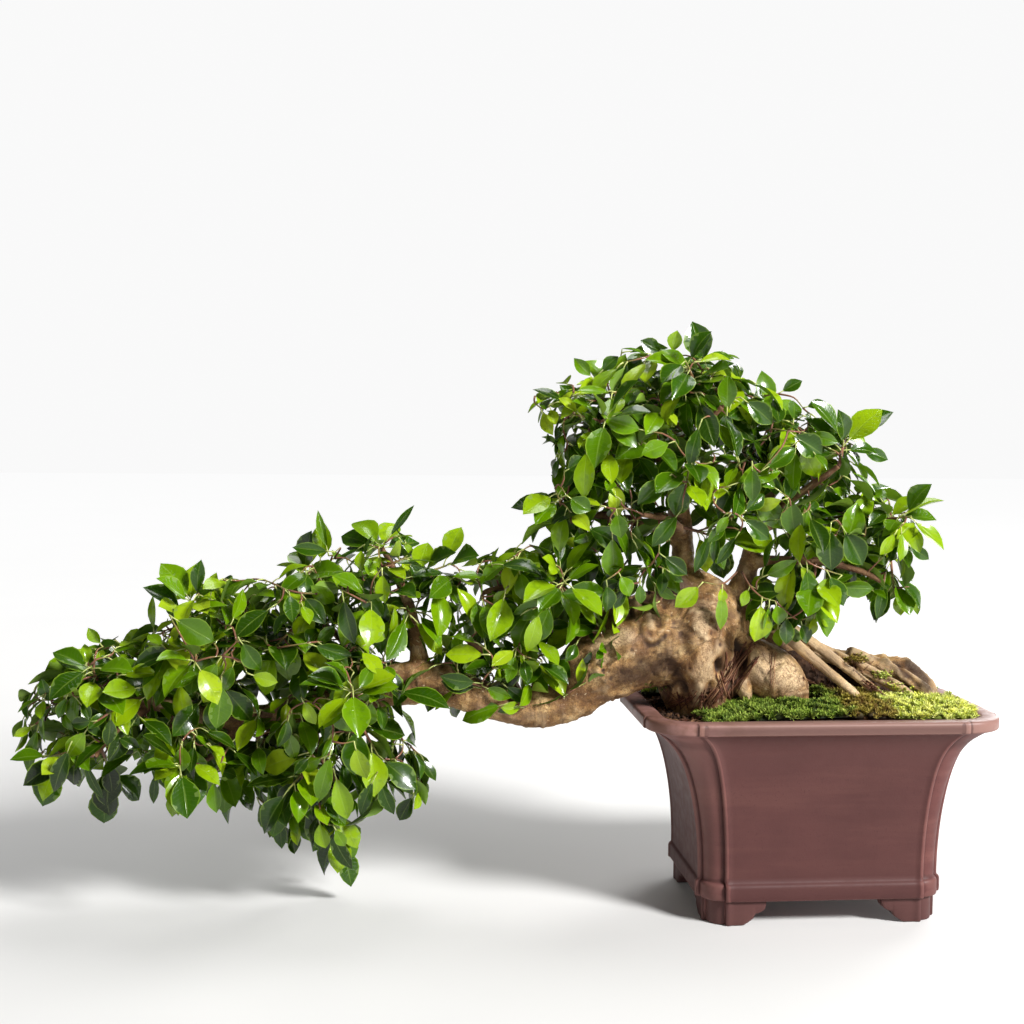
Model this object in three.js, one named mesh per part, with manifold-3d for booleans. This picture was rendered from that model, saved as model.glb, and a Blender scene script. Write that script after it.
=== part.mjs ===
// Chinese banyan (Ficus microcarpa) bonsai in its rectangular stoneware pot.
// Millimetres, +Z up, X along the pot's long front face, -Y towards the viewer.
// The plant leans out over the left rim: a thick trunk, a long cascading limb, a crown on two leaders,
// and a fan of surface roots on the right.
// Every leafy shoot is a piece of its own that starts just clear of the bark.

import * as THREE from 'three';
import { mergeVertices } from 'three/addons/utils/BufferGeometryUtils.js';
import Module from 'manifold-3d';

const wasm = await Module();
wasm.setup();

// Clearance between neighbouring pieces
const GAP = 0.3;

// Pot: half length, half depth and corner notch of each level, all in plan
const RIM = { a: 175, d: 112, n: 44.5 };
const WALL_FOOT = { a: 118, d: 86.5, n: 20.5 };
const BAND = { a: 121, d: 90.5, n: 24 };
const FEET = { a: 115, d: 86.5, n: 19 };
const NOTCH_STEP = 3.5;
const CORNER_ARC_STEPS = 3;
const POT_TOP = 200;
const LIP_HEIGHT = 11.5;
const LIP_WIDTH = 20;
const WALL = 10;
const BAND_BOTTOM = 24;
const BAND_TOP = 41;
const FLOOR_TOP = 36;
const EDGE = 1.5;
const FOOT_LEG = 16;
// Cloud-cut side of a foot bracket: distance from the corner, height
const FOOT_PROFILE = [[0, 0], [34, 0], [41, 3], [45, 6], [47.5, 11], [55, 13.5], [58, 19]];
const DRAIN_HOLE_X = 55;
const DRAIN_HOLE_RADIUS = 14;

// Drain screens that keep the soil in
const SCREEN = { side: 42, thick: 1, hole: 12, pitch: 9 };

// Soil and moss
const SOIL_EDGE_HEIGHT = 191;
const SOIL_MOUND = 15;
const SOIL_GRID = 45;
const MOSS_GRID = 22.5;
const MOSS_THICKNESS = 6.5;
const MOSS_BUMP = 2.2;
const MOSS_SEAM = 0.8;

// Leaves: length, width over length, thickness under the midrib
const LEAF_LENGTH = [34, 49];
const LEAF_ASPECT = 0.56;
const LEAF_THICKNESS = 0.9;
const LEAF_CLEARANCE = 0.8;
const LEAVES_PER_SPRAY = 9;
const LEAF_TRIES = 40;
const TWIG_TRIES = 24;
const TWIG_SHIFT = 7;
const TWIG_BEND = 0.5;
const TWIG_STEP = 0.004;
const LEAF_SHARE = [0.28, 0.97];
const BARE_TWIG = 0.05;
const STALK = 1.14;
const TWIG_RADII = [1.9, 1.4, 0.8];
const GOLDEN_ANGLE = Math.PI * (3 - Math.sqrt(5));
const SEED = 4401;

// Wood, as spines of [x, y, z, radius]
const TRUNK = [
  [-88, 4, 112, 16], [-91, 4, 142, 25], [-97, 3, 174, 39], [-106, 0, 214, 49],
  [-110, -2, 256, 53], [-118, 0, 292, 46], [-130, 2, 322, 27], [-136, 2, 338, 13],
];
const LIMB = [
  [-112, -2, 258, 44], [-160, -7, 262, 47], [-195, -12, 248, 41], [-219, -18, 231, 35],
  [-239, -24, 212, 24], [-257, -28, 205, 18.5], [-280, -30, 203, 17], [-310, -30, 209, 15],
  [-336, -28, 215, 16], [-372, -22, 226, 19], [-406, -14, 224, 21], [-455, -4, 214, 17],
  [-504, 2, 196, 14], [-540, 2, 189, 12.5], [-578, 0, 190, 11], [-614, -4, 199, 9],
  [-650, -8, 206, 7], [-682, -7, 205, 4.8], [-705, -5, 200, 3.4],
];
const LEFT_LEADER = [
  [-136, 0, 306, 26], [-128, 0, 332, 15], [-125, 0, 354, 11], [-129, 2, 386, 11],
  [-134, 4, 420, 10], [-135, 6, 452, 8], [-126, 3, 480, 5.5], [-108, -5, 502, 3.4],
];
const RIGHT_LEADER = [
  [-78, 0, 276, 28], [-68, 0, 304, 17], [-60, 0, 332, 10.5], [-52, 2, 362, 9],
  [-43, 3, 396, 7.5], [-33, 2, 426, 5.5], [-22, 0, 452, 3.6],
];
const BULB_ROOT = [
  [-76, -10, 262, 18], [-54, -20, 247, 26], [-30, -28, 232, 27], [-6, -34, 215, 18], [8, -38, 198, 8],
];
const SURFACE_ROOTS = [
  [[-70, -8, 292, 9], [-40, -18, 282, 5.6], [0, -29, 249, 4.8], [38, -41, 217, 4.2], [52, -46, 198, 3.8]],
  [[-70, 0, 288, 10], [-22, -6, 279, 6], [25, -22, 247, 4.6], [66, -35, 214, 4.2], [80, -40, 198, 3.8]],
  [[-84, 12, 274, 20], [-44, 18, 270, 15], [0, 22, 260, 12], [42, 22, 249, 10.5], [82, 20, 243, 10],
    [116, 15, 237, 9.5], [134, 8, 220, 7.5], [143, 2, 198, 5.5]],
  [[14, 10, 252, 9], [58, -8, 235, 7], [96, -22, 215, 6], [112, -28, 197, 5]],
  [[52, 14, 246, 9], [94, 2, 231, 7.5], [124, -8, 213, 6.5], [136, -12, 196, 5]],
  [[56, 26, 244, 9], [98, 40, 225, 7], [124, 52, 206, 6], [130, 56, 192, 4.5]],
  [[-108, 34, 244, 20], [-118, 58, 214, 12], [-124, 70, 188, 8]],
  [[-62, 34, 240, 18], [-42, 58, 214, 11], [-34, 68, 188, 7]],
  [[-100, -36, 226, 18], [-104, -52, 206, 11], [-106, -58, 188, 7]],
  [[-74, -34, 228, 14], [-60, -52, 208, 8], [-54, -60, 190, 5]],
];

// Branches that carry the foliage, as spines of [x, y, z, radius]
const CROWN_BRANCHES = [
  [[-134, 5, 430, 6.5], [-156, 5, 450, 5], [-182, 5, 466, 4], [-214, 2, 478, 2.6]],
  [[-131, 3, 405, 7], [-150, 30, 425, 4.6], [-172, 48, 452, 3.4], [-192, 56, 468, 2.4]],
  [[-134, 5, 440, 6], [-124, -22, 462, 4], [-112, -45, 482, 3], [-102, -58, 496, 2.4]],
  [[-112, -3, 498, 4], [-92, 8, 514, 3.2], [-76, 20, 522, 2.4]],
  [[-24, 0, 448, 4], [0, 4, 460, 3.2], [24, 6, 464, 2.4]],
  [[-43, 3, 396, 7], [-22, 28, 420, 4.6], [2, 48, 438, 3.4], [20, 58, 446, 2.4]],
  [[-46, 3, 385, 7], [-22, -22, 406, 4.6], [2, -44, 428, 3.2], [14, -56, 440, 2.4]],
  [[-48, 3, 374, 7], [-12, 0, 390, 4.8], [28, -2, 390, 4], [62, 2, 382, 3.2], [88, 8, 366, 2.4]],
  [[-58, 0, 342, 8], [-36, -20, 345, 4.8], [0, -38, 346, 3.8], [40, -44, 338, 3], [66, -44, 326, 2.4]],
  [[-128, 0, 362, 8], [-160, -2, 378, 5.4], [-194, -4, 387, 4.2], [-222, -6, 388, 3.2], [-246, -8, 380, 2.4]],
  [[-128, -2, 372, 7], [-138, -28, 380, 4.4], [-154, -46, 388, 3.2], [-176, -54, 392, 2.4]],
  [[-128, 4, 378, 7], [-146, 30, 388, 4.4], [-172, 48, 394, 3.2], [-202, 54, 396, 2.4]],
];
const CASCADE_BRANCHES = [
  [[-190, -8, 266, 14], [-226, -8, 302, 7], [-266, -9, 316, 4.8], [-302, -10, 318, 3.4], [-326, -10, 312, 2.4]],
  [[-292, -30, 205, 11], [-306, -26, 238, 5.5], [-326, -26, 258, 4], [-344, -30, 270, 2.6]],
  [[-385, -19, 226, 12], [-392, -12, 274, 6.8], [-402, -5, 310, 5], [-415, 0, 338, 3.4], [-424, 2, 354, 2.4]],
  [[-452, -4, 214, 11], [-474, 0, 246, 6], [-494, 2, 274, 4.6], [-512, 2, 300, 3.2], [-520, 0, 316, 2.4]],
  [[-560, 1, 189, 9], [-575, -2, 220, 5.4], [-590, -2, 246, 4.2], [-606, -2, 266, 3], [-618, -2, 278, 2.4]],
  [[-438, -6, 218, 10], [-450, 26, 242, 5], [-470, 48, 264, 3.6], [-490, 58, 278, 2.4]],
  [[-492, 0, 199, 9], [-490, -4, 172, 5], [-478, -10, 144, 3.6], [-462, -12, 118, 2.4]],
  [[-556, 1, 189, 8], [-572, -4, 170, 4.6], [-586, -8, 155, 3.4], [-604, -10, 144, 2.4]],
  [[-428, -10, 220, 10], [-440, -38, 222, 5], [-456, -54, 208, 3.6], [-470, -60, 192, 2.4]],
  [[-644, -8, 205, 5], [-666, -20, 190, 4], [-684, -30, 174, 3], [-694, -36, 160, 2.4]],
  [[-518, 1, 193, 8], [-528, 28, 184, 4.6], [-536, 46, 168, 3.4], [-542, 56, 152, 2.4]],
];

// Where foliage sits: middle and half sizes of each cloud of sprays, and how much its shoots droop
const CLOUDS = [
  { part: 'crown', at: [-188, 0, 478], half: [54, 62, 40], droop: 0 },
  { part: 'crown', at: [-108, 0, 512], half: [50, 62, 36], droop: -0.1 },
  { part: 'crown', at: [-14, 0, 454], half: [58, 64, 42], droop: 0 },
  { part: 'crown', at: [64, -4, 362], half: [42, 58, 56], droop: 0.4 },
  { part: 'crown', at: [-216, 0, 396], half: [42, 56, 44], droop: 0.2 },
  { part: 'crown', at: [4, -30, 350], half: [46, 42, 36], droop: 0.4 },
  { part: 'crown', at: [-112, -30, 408], half: [52, 42, 52], droop: 0.3 },
  { part: 'shoulder', at: [-276, -12, 312], half: [46, 50, 44], droop: 0.2 },
  { part: 'shoulder', at: [-318, -30, 252], half: [58, 38, 34], droop: 0.4 },
  { part: 'cascade', at: [-412, 0, 324], half: [42, 56, 44], droop: 0 },
  { part: 'cascade', at: [-500, 0, 290], half: [52, 64, 52], droop: 0.1 },
  { part: 'cascade', at: [-446, -20, 222], half: [40, 62, 50], droop: 0.5 },
  { part: 'cascade', at: [-506, -4, 160], half: [56, 60, 56], droop: 0.8 },
  { part: 'cascade', at: [-478, -12, 104], half: [30, 36, 38], droop: 0.9 },
  { part: 'cascade', at: [-594, 0, 256], half: [54, 62, 48], droop: 0.2 },
  { part: 'cascade', at: [-606, 0, 160], half: [52, 58, 38], droop: 0.8 },
  { part: 'cascade', at: [-684, -5, 210], half: [46, 54, 44], droop: 0.4 },
  { part: 'cascade', at: [-708, -5, 156], half: [38, 48, 22], droop: 0.9 },
];
const SPRAY_COUNT = 48;
const SPRAY_CANDIDATES = 120;
const TWIG_REACH = [20, 84];
const TWIG_BEYOND = 18;
const ANCHOR_MAX_RADIUS = 9;

const UP = new THREE.Vector3(0, 0, 1);
const COLOURS = {
  bark: 0xa8906f, pot: 0x6f4a45, soil: 0x33261c, screen: 0x2c2f2c,
  moss_dark: 0x3c5a1c, moss_brown: 0x6a5a2a, moss_bright: 0x86a02c, leaf: 0x2f6b1e,
};

// Small repeatable generator of numbers from 0 to 1
function generator(seed) {
  let state = seed >>> 0;
  return () => {
    state = (state + 0x6d2b79f5) >>> 0;
    let t = state;
    t = Math.imul(t ^ (t >>> 15), t | 1);
    t ^= t + Math.imul(t ^ (t >>> 7), t | 61);
    return ((t ^ (t >>> 14)) >>> 0) / 4294967296;
  };
}

const vector = (p) => new THREE.Vector3(p[0], p[1], p[2]);

// A closed solid from shared points and triangles
function solidOf(points, triangles) {
  const vertProperties = new Float32Array(points.flatMap((p) => [p.x, p.y, p.z]));
  const triVerts = new Uint32Array(triangles);
  return new wasm.Manifold(new wasm.Mesh({ numProp: 3, vertProperties, triVerts }));
}

function solidOfGeometry(geometry) {
  const bare = geometry.index ? geometry.toNonIndexed() : geometry.clone();
  bare.deleteAttribute('normal');
  bare.deleteAttribute('uv');
  const merged = mergeVertices(bare, 1e-3);
  const position = merged.attributes.position;
  const points = [];
  for (let i = 0; i < position.count; i += 1) {
    points.push(new THREE.Vector3().fromBufferAttribute(position, i));
  }
  return solidOf(points, Array.from(merged.index.array));
}

function box(width, depth, height, x, y, z) {
  return solidOfGeometry(new THREE.BoxGeometry(width, depth, height).translate(x, y, z));
}

// Skin over rings of equal point count, with fans over both ends; the rings are anticlockwise from the far end
function loft(rings) {
  const points = rings.flat();
  const sides = rings[0].length;
  const triangles = [];
  for (let i = 0; i + 1 < rings.length; i += 1) {
    for (let j = 0; j < sides; j += 1) {
      const a = i * sides + j;
      const b = i * sides + ((j + 1) % sides);
      triangles.push(a, b, b + sides, a, b + sides, a + sides);
    }
  }
  const ends = [[0, true], [rings.length - 1, false]];
  for (const [row, start] of ends) {
    const centre = points.length;
    points.push(rings[row].reduce((sum, p) => sum.add(p), new THREE.Vector3()).divideScalar(sides));
    for (let j = 0; j < sides; j += 1) {
      const a = row * sides + j;
      const b = row * sides + ((j + 1) % sides);
      triangles.push(...(start ? [centre, b, a] : [centre, a, b]));
    }
  }
  return solidOf(points, triangles);
}

// Plan outline of the pot: a rectangle whose rounded corners are set back by a small step
function potOutline({ a, d, n }, step, z) {
  const points = [];
  const corners = [[1, -1, -90], [1, 1, 0], [-1, 1, 90], [-1, -1, 180]];
  for (const [sx, sy, start] of corners) {
    const alongX = start === -90 || start === 90;
    const nickX = new THREE.Vector3(sx * (a - n), sy * d, z);
    const nickY = new THREE.Vector3(sx * a, sy * (d - n), z);
    points.push(alongX ? nickX : nickY);
    for (let k = 0; k <= CORNER_ARC_STEPS; k += 1) {
      const angle = THREE.MathUtils.degToRad(start + (90 * k) / CORNER_ARC_STEPS);
      const x = sx * (a - n) + (n - step) * Math.cos(angle);
      const y = sy * (d - n) + (n - step) * Math.sin(angle);
      points.push(new THREE.Vector3(x, y, z));
    }
    points.push(alongX ? nickY : nickX);
  }
  return points;
}

// How far the wall has flared out between its foot (0) and the rim (1), at height share s
const flare = (s) => 0.5 * s ** 2.2 + 0.4 * s ** 10;

function mix(low, high, t) {
  return {
    a: THREE.MathUtils.lerp(low.a, high.a, t),
    d: THREE.MathUtils.lerp(low.d, high.d, t),
    n: THREE.MathUtils.lerp(low.n, high.n, t),
  };
}

const inset = ({ a, d, n }, by) => ({ a: a - by, d: d - by, n: n - by });

const LIP_BOTTOM = POT_TOP - LIP_HEIGHT;

function wallAt(z) {
  const s = THREE.MathUtils.clamp((z - BAND_TOP) / (LIP_BOTTOM - BAND_TOP), 0, 1);
  return mix(WALL_FOOT, RIM, flare(s));
}

// Inner face of the pot at height z, which turns in to the lip's width at the top
function cavityAt(z) {
  const lip = THREE.MathUtils.smoothstep(z, 150, POT_TOP);
  const inner = inset(wallAt(Math.min(z, LIP_BOTTOM)), WALL);
  return mix(inner, inset(RIM, LIP_WIDTH), lip);
}

// One leg of a foot bracket, which reaches a little way up into the bottom band
function footBracket() {
  const top = BAND_BOTTOM + EDGE;
  const span = FOOT_PROFILE[FOOT_PROFILE.length - 1][0];
  const outline = [...FOOT_PROFILE, [span, top], [0, top]];
  const shape = new THREE.Shape(outline.map(([x, y]) => new THREE.Vector2(x, y)));
  return new THREE.ExtrudeGeometry(shape, { depth: FOOT_LEG, bevelEnabled: false });
}

function potFeet() {
  const plan = loft([0, BAND_BOTTOM + EDGE].map((z) => potOutline(FEET, NOTCH_STEP, z)));
  let legs = null;
  for (const sx of [-1, 1]) {
    for (const sy of [-1, 1]) {
      const along = footBracket().rotateX(Math.PI / 2).translate(-FEET.a, -FEET.d + FOOT_LEG, 0);
      const across = footBracket().rotateX(Math.PI / 2).rotateZ(Math.PI / 2).translate(-FEET.a, -FEET.d, 0);
      for (const leg of [along, across]) {
        const placed = solidOfGeometry(leg).scale([-sx, -sy, 1]);
        legs = legs ? legs.add(placed) : placed;
      }
    }
  }
  return legs.intersect(plan);
}

function potSolid() {
  const rings = [
    potOutline(inset(BAND, EDGE), NOTCH_STEP, BAND_BOTTOM),
    potOutline(BAND, NOTCH_STEP, BAND_BOTTOM + EDGE),
    potOutline(BAND, NOTCH_STEP, BAND_TOP - 2 * EDGE),
    potOutline(inset(BAND, EDGE), NOTCH_STEP, BAND_TOP),
  ];
  for (const s of [0.01, 0.5, 0.75, 0.9, 1]) {
    const z = BAND_TOP + s * (LIP_BOTTOM - BAND_TOP);
    rings.push(potOutline(wallAt(z), NOTCH_STEP, z));
  }
  rings.push(potOutline(inset(RIM, EDGE), NOTCH_STEP, LIP_BOTTOM + 0.4));
  rings.push(potOutline(RIM, NOTCH_STEP, LIP_BOTTOM + EDGE));
  rings.push(potOutline(RIM, NOTCH_STEP, POT_TOP - EDGE));
  rings.push(potOutline(inset(RIM, EDGE), NOTCH_STEP, POT_TOP));
  for (const z of [POT_TOP, LIP_BOTTOM, 150, FLOOR_TOP]) rings.push(potOutline(cavityAt(z), 1, z));
  let pot = loft(rings).add(potFeet());
  for (const side of [-1, 1]) {
    const hole = new THREE.CylinderGeometry(DRAIN_HOLE_RADIUS, DRAIN_HOLE_RADIUS, 40, 16);
    hole.rotateX(Math.PI / 2).translate(side * DRAIN_HOLE_X, 0, BAND_BOTTOM);
    pot = pot.subtract(solidOfGeometry(hole));
  }
  return pot;
}

function screenSolid(side) {
  const z = FLOOR_TOP + GAP + SCREEN.thick / 2;
  let plate = box(SCREEN.side, SCREEN.side, SCREEN.thick, side * DRAIN_HOLE_X, 0, z);
  for (const i of [-1, 1]) {
    for (const j of [-1, 1]) {
      const x = side * DRAIN_HOLE_X + i * SCREEN.pitch;
      plate = plate.subtract(box(SCREEN.hole, SCREEN.hole, 4, x, j * SCREEN.pitch, z));
    }
  }
  return plate;
}

// Height of the soil mound on its coarse grid, flat between grid points
function moundHeight(x, y) {
  const shape = (1 - (x / 200) ** 2) * (1 - (y / 125) ** 2);
  const bare = Math.exp(-(((x + 120) / 45) ** 2) - ((y + 62) / 40) ** 2);
  return SOIL_EDGE_HEIGHT + SOIL_MOUND * shape - 9 * bare;
}

function soilHeight(x, y) {
  const i = Math.floor(x / SOIL_GRID);
  const j = Math.floor(y / SOIL_GRID);
  const u = x / SOIL_GRID - i;
  const v = y / SOIL_GRID - j;
  const at = (di, dj) => moundHeight((i + di) * SOIL_GRID, (j + dj) * SOIL_GRID);
  if (u >= v) return at(0, 0) + u * (at(1, 0) - at(0, 0)) + v * (at(1, 1) - at(1, 0));
  return at(0, 0) + v * (at(0, 1) - at(0, 0)) + u * (at(1, 1) - at(0, 1));
}

// Closed slab over a grid of square cells, between two height functions
function slab(cell, fromX, toX, fromY, toY, bottom, top) {
  const columns = Math.round((toX - fromX) / cell);
  const rows = Math.round((toY - fromY) / cell);
  const points = [];
  for (const height of [bottom, top]) {
    for (let j = 0; j <= rows; j += 1) {
      for (let i = 0; i <= columns; i += 1) {
        const x = fromX + i * cell;
        const y = fromY + j * cell;
        points.push(new THREE.Vector3(x, y, height(x, y)));
      }
    }
  }
  const layer = (columns + 1) * (rows + 1);
  const id = (i, j) => j * (columns + 1) + i;
  const triangles = [];
  for (let j = 0; j < rows; j += 1) {
    for (let i = 0; i < columns; i += 1) {
      const [a, b, c, d] = [id(i, j), id(i + 1, j), id(i + 1, j + 1), id(i, j + 1)];
      triangles.push(a + layer, b + layer, c + layer, a + layer, c + layer, d + layer);
      triangles.push(a, c, b, a, d, c);
    }
  }
  const wall = (a, b) => triangles.push(a, b, b + layer, a, b + layer, a + layer);
  for (let i = 0; i < columns; i += 1) {
    wall(id(i, 0), id(i + 1, 0));
    wall(id(i + 1, rows), id(i, rows));
  }
  for (let j = 0; j < rows; j += 1) {
    wall(id(columns, j), id(columns, j + 1));
    wall(id(0, j + 1), id(0, j));
  }
  return solidOf(points, triangles);
}

// Everything inside the pot's inner face, between two heights, at a clearance from it
function cavityFill(from, to, clearance) {
  const rings = [];
  for (const z of [from, 150, LIP_BOTTOM]) rings.push(potOutline(inset(cavityAt(z), clearance), 1, z));
  rings.push(potOutline(inset(cavityAt(POT_TOP), clearance), 1, to));
  return loft(rings);
}

function soilSolid(wood) {
  const reachX = 4 * SOIL_GRID;
  const reachY = 3 * SOIL_GRID;
  const mound = slab(SOIL_GRID, -reachX, reachX, -reachY, reachY, () => FLOOR_TOP, soilHeight);
  let soil = mound.intersect(cavityFill(FLOOR_TOP + GAP, POT_TOP + 30, 2 * GAP));
  const pocket = SCREEN.side + 2 * GAP;
  const pocketHeight = 2 * (SCREEN.thick + 2 * GAP);
  for (const side of [-1, 1]) {
    soil = soil.subtract(box(pocket, pocket, pocketHeight, side * DRAIN_HOLE_X, 0, FLOOR_TOP));
  }
  return soil.subtract(wood);
}

// Moss cushions: a bumpy layer over the soil, cut into patches along wavy seams
function mossTop(x, y) {
  const bumps = Math.sin(x * 0.21 + y * 0.05) * Math.cos(y * 0.19 - x * 0.07);
  return soilHeight(x, y) + GAP + MOSS_THICKNESS + MOSS_BUMP * bumps;
}

const seamShift = (x, y) => 4.5 * Math.sin(0.09 * y + x);
const mossFront = () => -100;
const mossMiddle = (x) => -8 + 7 * Math.sin(0.045 * x);
const mossBehind = (x) => 38 + 5 * Math.sin(0.06 * x);
const mossBack = () => 100;

// One side of a patch, listed from its near end to its far end
function mossSeam(x, near, far, shift) {
  const [from, to] = [near(x), far(x)];
  return [0, 0.3, 0.6, 1].map((t) => {
    const y = THREE.MathUtils.lerp(from, to, t);
    return new THREE.Vector2(x + seamShift(x, y) + shift, y);
  });
}

function mossPatch(fromX, toX, near, far, wood) {
  const middle = [0.75, 0.5, 0.25].map((t) => THREE.MathUtils.lerp(fromX, toX, t));
  const outline = [
    ...mossSeam(toX, near, far, -MOSS_SEAM),
    ...middle.map((x) => new THREE.Vector2(x, far(x))),
    ...mossSeam(fromX, near, far, 0).reverse(),
    ...middle.reverse().map((x) => new THREE.Vector2(x, near(x))),
  ];
  const shape = new THREE.Shape(outline);
  const prism = new THREE.ExtrudeGeometry(shape, { depth: 60, bevelEnabled: false }).translate(0, 0, 180);
  const reachX = 4 * SOIL_GRID;
  const reachY = 3 * SOIL_GRID;
  const bed = slab(SOIL_GRID, -reachX, reachX, -reachY, reachY, () => 0, (x, y) => soilHeight(x, y) + GAP);
  const layer = slab(MOSS_GRID, -reachX, reachX, -reachY, reachY, () => FLOOR_TOP, mossTop).subtract(bed);
  const inside = cavityFill(FLOOR_TOP, POT_TOP + 30, 1.2);
  return layer.intersect(inside).intersect(solidOfGeometry(prism)).subtract(wood);
}

// Smooth curve through [x, y, z, radius] points, with a few steps per span
function spine(points, steps) {
  const out = [];
  for (let i = 0; i + 1 < points.length; i += 1) {
    const [p0, p1] = [points[Math.max(i - 1, 0)], points[i]];
    const [p2, p3] = [points[i + 1], points[Math.min(i + 2, points.length - 1)]];
    for (let k = 0; k < steps; k += 1) {
      const t = k / steps;
      out.push(p1.map((v, c) => {
        const a = 2 * v;
        const b = p2[c] - p0[c];
        const d = 2 * p0[c] - 5 * v + 4 * p2[c] - p3[c];
        const e = 3 * v - p0[c] - 3 * p2[c] + p3[c];
        return 0.5 * (a + b * t + d * t * t + e * t * t * t);
      }));
    }
  }
  out.push(points[points.length - 1]);
  return out;
}

// Round stem along a spine; its flutes make it lobed, and grow adds a clearance all round
function stem(points, sides, { grow = 0, flute = 0, lobes = 3 } = {}) {
  const rings = [];
  let side = null;
  for (let i = 0; i < points.length; i += 1) {
    const before = vector(points[Math.max(i - 1, 0)]);
    const after = vector(points[Math.min(i + 1, points.length - 1)]);
    const ahead = after.sub(before).normalize();
    if (!side) side = Math.abs(ahead.z) < 0.9 ? UP.clone() : new THREE.Vector3(1, 0, 0);
    side.addScaledVector(ahead, -side.dot(ahead)).normalize();
    const across = ahead.clone().cross(side);
    const centre = vector(points[i]);
    if (i === 0) centre.addScaledVector(ahead, -grow);
    if (i === points.length - 1) centre.addScaledVector(ahead, grow);
    const ring = [];
    for (let j = 0; j < sides; j += 1) {
      const angle = (2 * Math.PI * j) / sides;
      const lobe = 1 + flute * Math.sin(lobes * angle + 0.35 * i);
      const radius = points[i][3] * lobe + grow;
      const point = centre.clone();
      point.addScaledVector(side, radius * Math.cos(angle));
      point.addScaledVector(across, radius * Math.sin(angle));
      ring.push(point);
    }
    rings.push(ring);
  }
  return loft(rings);
}

// Points of the branches that a leafy twig can grow from
function anchorPoints() {
  const anchors = [];
  for (const branch of [...CROWN_BRANCHES, ...CASCADE_BRANCHES, LIMB.slice(12), LEFT_LEADER.slice(3)]) {
    for (const [x, y, z, radius] of spine(branch, 5).slice(4)) {
      if (radius < ANCHOR_MAX_RADIUS) anchors.push(new THREE.Vector3(x, y, z));
    }
  }
  return anchors;
}

// A random place in a cloud, and the nearest branch point to it
function sprayCandidate(random, anchors) {
  const cloud = CLOUDS[Math.floor(random() * CLOUDS.length)];
  const [polar, turn] = [Math.acos(2 * random() - 1), 2 * Math.PI * random()];
  const outward = new THREE.Vector3().setFromSphericalCoords(1, polar, turn).multiply(vector(cloud.half));
  const middle = vector(cloud.at).addScaledVector(outward, Math.cbrt(random()));
  const anchor = anchors.reduce((best, p) => (p.distanceTo(middle) < best.distanceTo(middle) ? p : best));
  return { part: cloud.part, droop: cloud.droop, middle, anchor };
}

// Spreads the sprays through the clouds, each as far as it can be from those before it
function sprayLayout() {
  const random = generator(SEED);
  const anchors = anchorPoints();
  const sprays = [];
  while (sprays.length < SPRAY_COUNT) {
    let best = null;
    let room = 0;
    for (let i = 0; i < SPRAY_CANDIDATES; i += 1) {
      const spray = sprayCandidate(random, anchors);
      const reach = spray.anchor.distanceTo(spray.middle);
      const away = Math.min(...sprays.map(({ middle }) => middle.distanceTo(spray.middle)), 999);
      if (reach > TWIG_REACH[0] && reach < TWIG_REACH[1] && away > room) {
        best = spray;
        room = away;
      }
    }
    const ahead = best.middle.clone().sub(best.anchor).normalize();
    best.tip = best.middle.clone().addScaledVector(ahead, TWIG_BEYOND);
    best.name = `${best.part}_spray_${String(sprays.length + 1).padStart(2, '0')}`;
    best.seed = SEED + 101 * (sprays.length + 1);
    sprays.push(best);
  }
  return sprays;
}

function woodSolid(grow) {
  const parts = [
    stem(TRUNK, 11, { grow, flute: 0.07 }),
    stem(LIMB, 8, { grow, flute: 0.05 }),
    stem(LEFT_LEADER, 7, { grow, flute: 0.06 }),
    stem(RIGHT_LEADER, 7, { grow, flute: 0.06 }),
    stem(BULB_ROOT, 8, { grow }),
  ];
  for (const root of SURFACE_ROOTS) parts.push(stem(root, 5, { grow }));
  for (const branch of [...CROWN_BRANCHES, ...CASCADE_BRANCHES]) parts.push(stem(branch, 4, { grow }));
  return wasm.Manifold.union(parts);
}

// Spine of a leafy twig from its branch to its tip, bent by its own weight; later tries swing the tip aside
function twigSpine({ anchor, tip, droop }, attempt) {
  const swing = new THREE.Vector3(Math.sin(2.4 * attempt), Math.cos(2.4 * attempt), 0.5 * Math.sin(attempt));
  const run = tip.clone().addScaledVector(swing, TWIG_SHIFT * Math.sqrt(attempt)).sub(anchor);
  const sag = 0.35 * droop * run.length();
  return (share) => {
    const point = anchor.clone().addScaledVector(run, share);
    point.z -= sag * share ** 2;
    return point;
  };
}

// Middle of the twig at a share of its spine; the twig is straight on each side of its bend
function twigMiddle(along, from, share) {
  const [start, end] = share < TWIG_BEND ? [from, TWIG_BEND] : [TWIG_BEND, 1];
  return along(start).lerp(along(end), (share - start) / (end - start));
}

// The twig itself, from the share of its spine where it leaves the bark
function twigSolid(along, from, grow = 0) {
  const points = [from, TWIG_BEND, 1].map((share, i) => [...along(share).toArray(), TWIG_RADII[i]]);
  return stem(points, 3, { grow });
}

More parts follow.
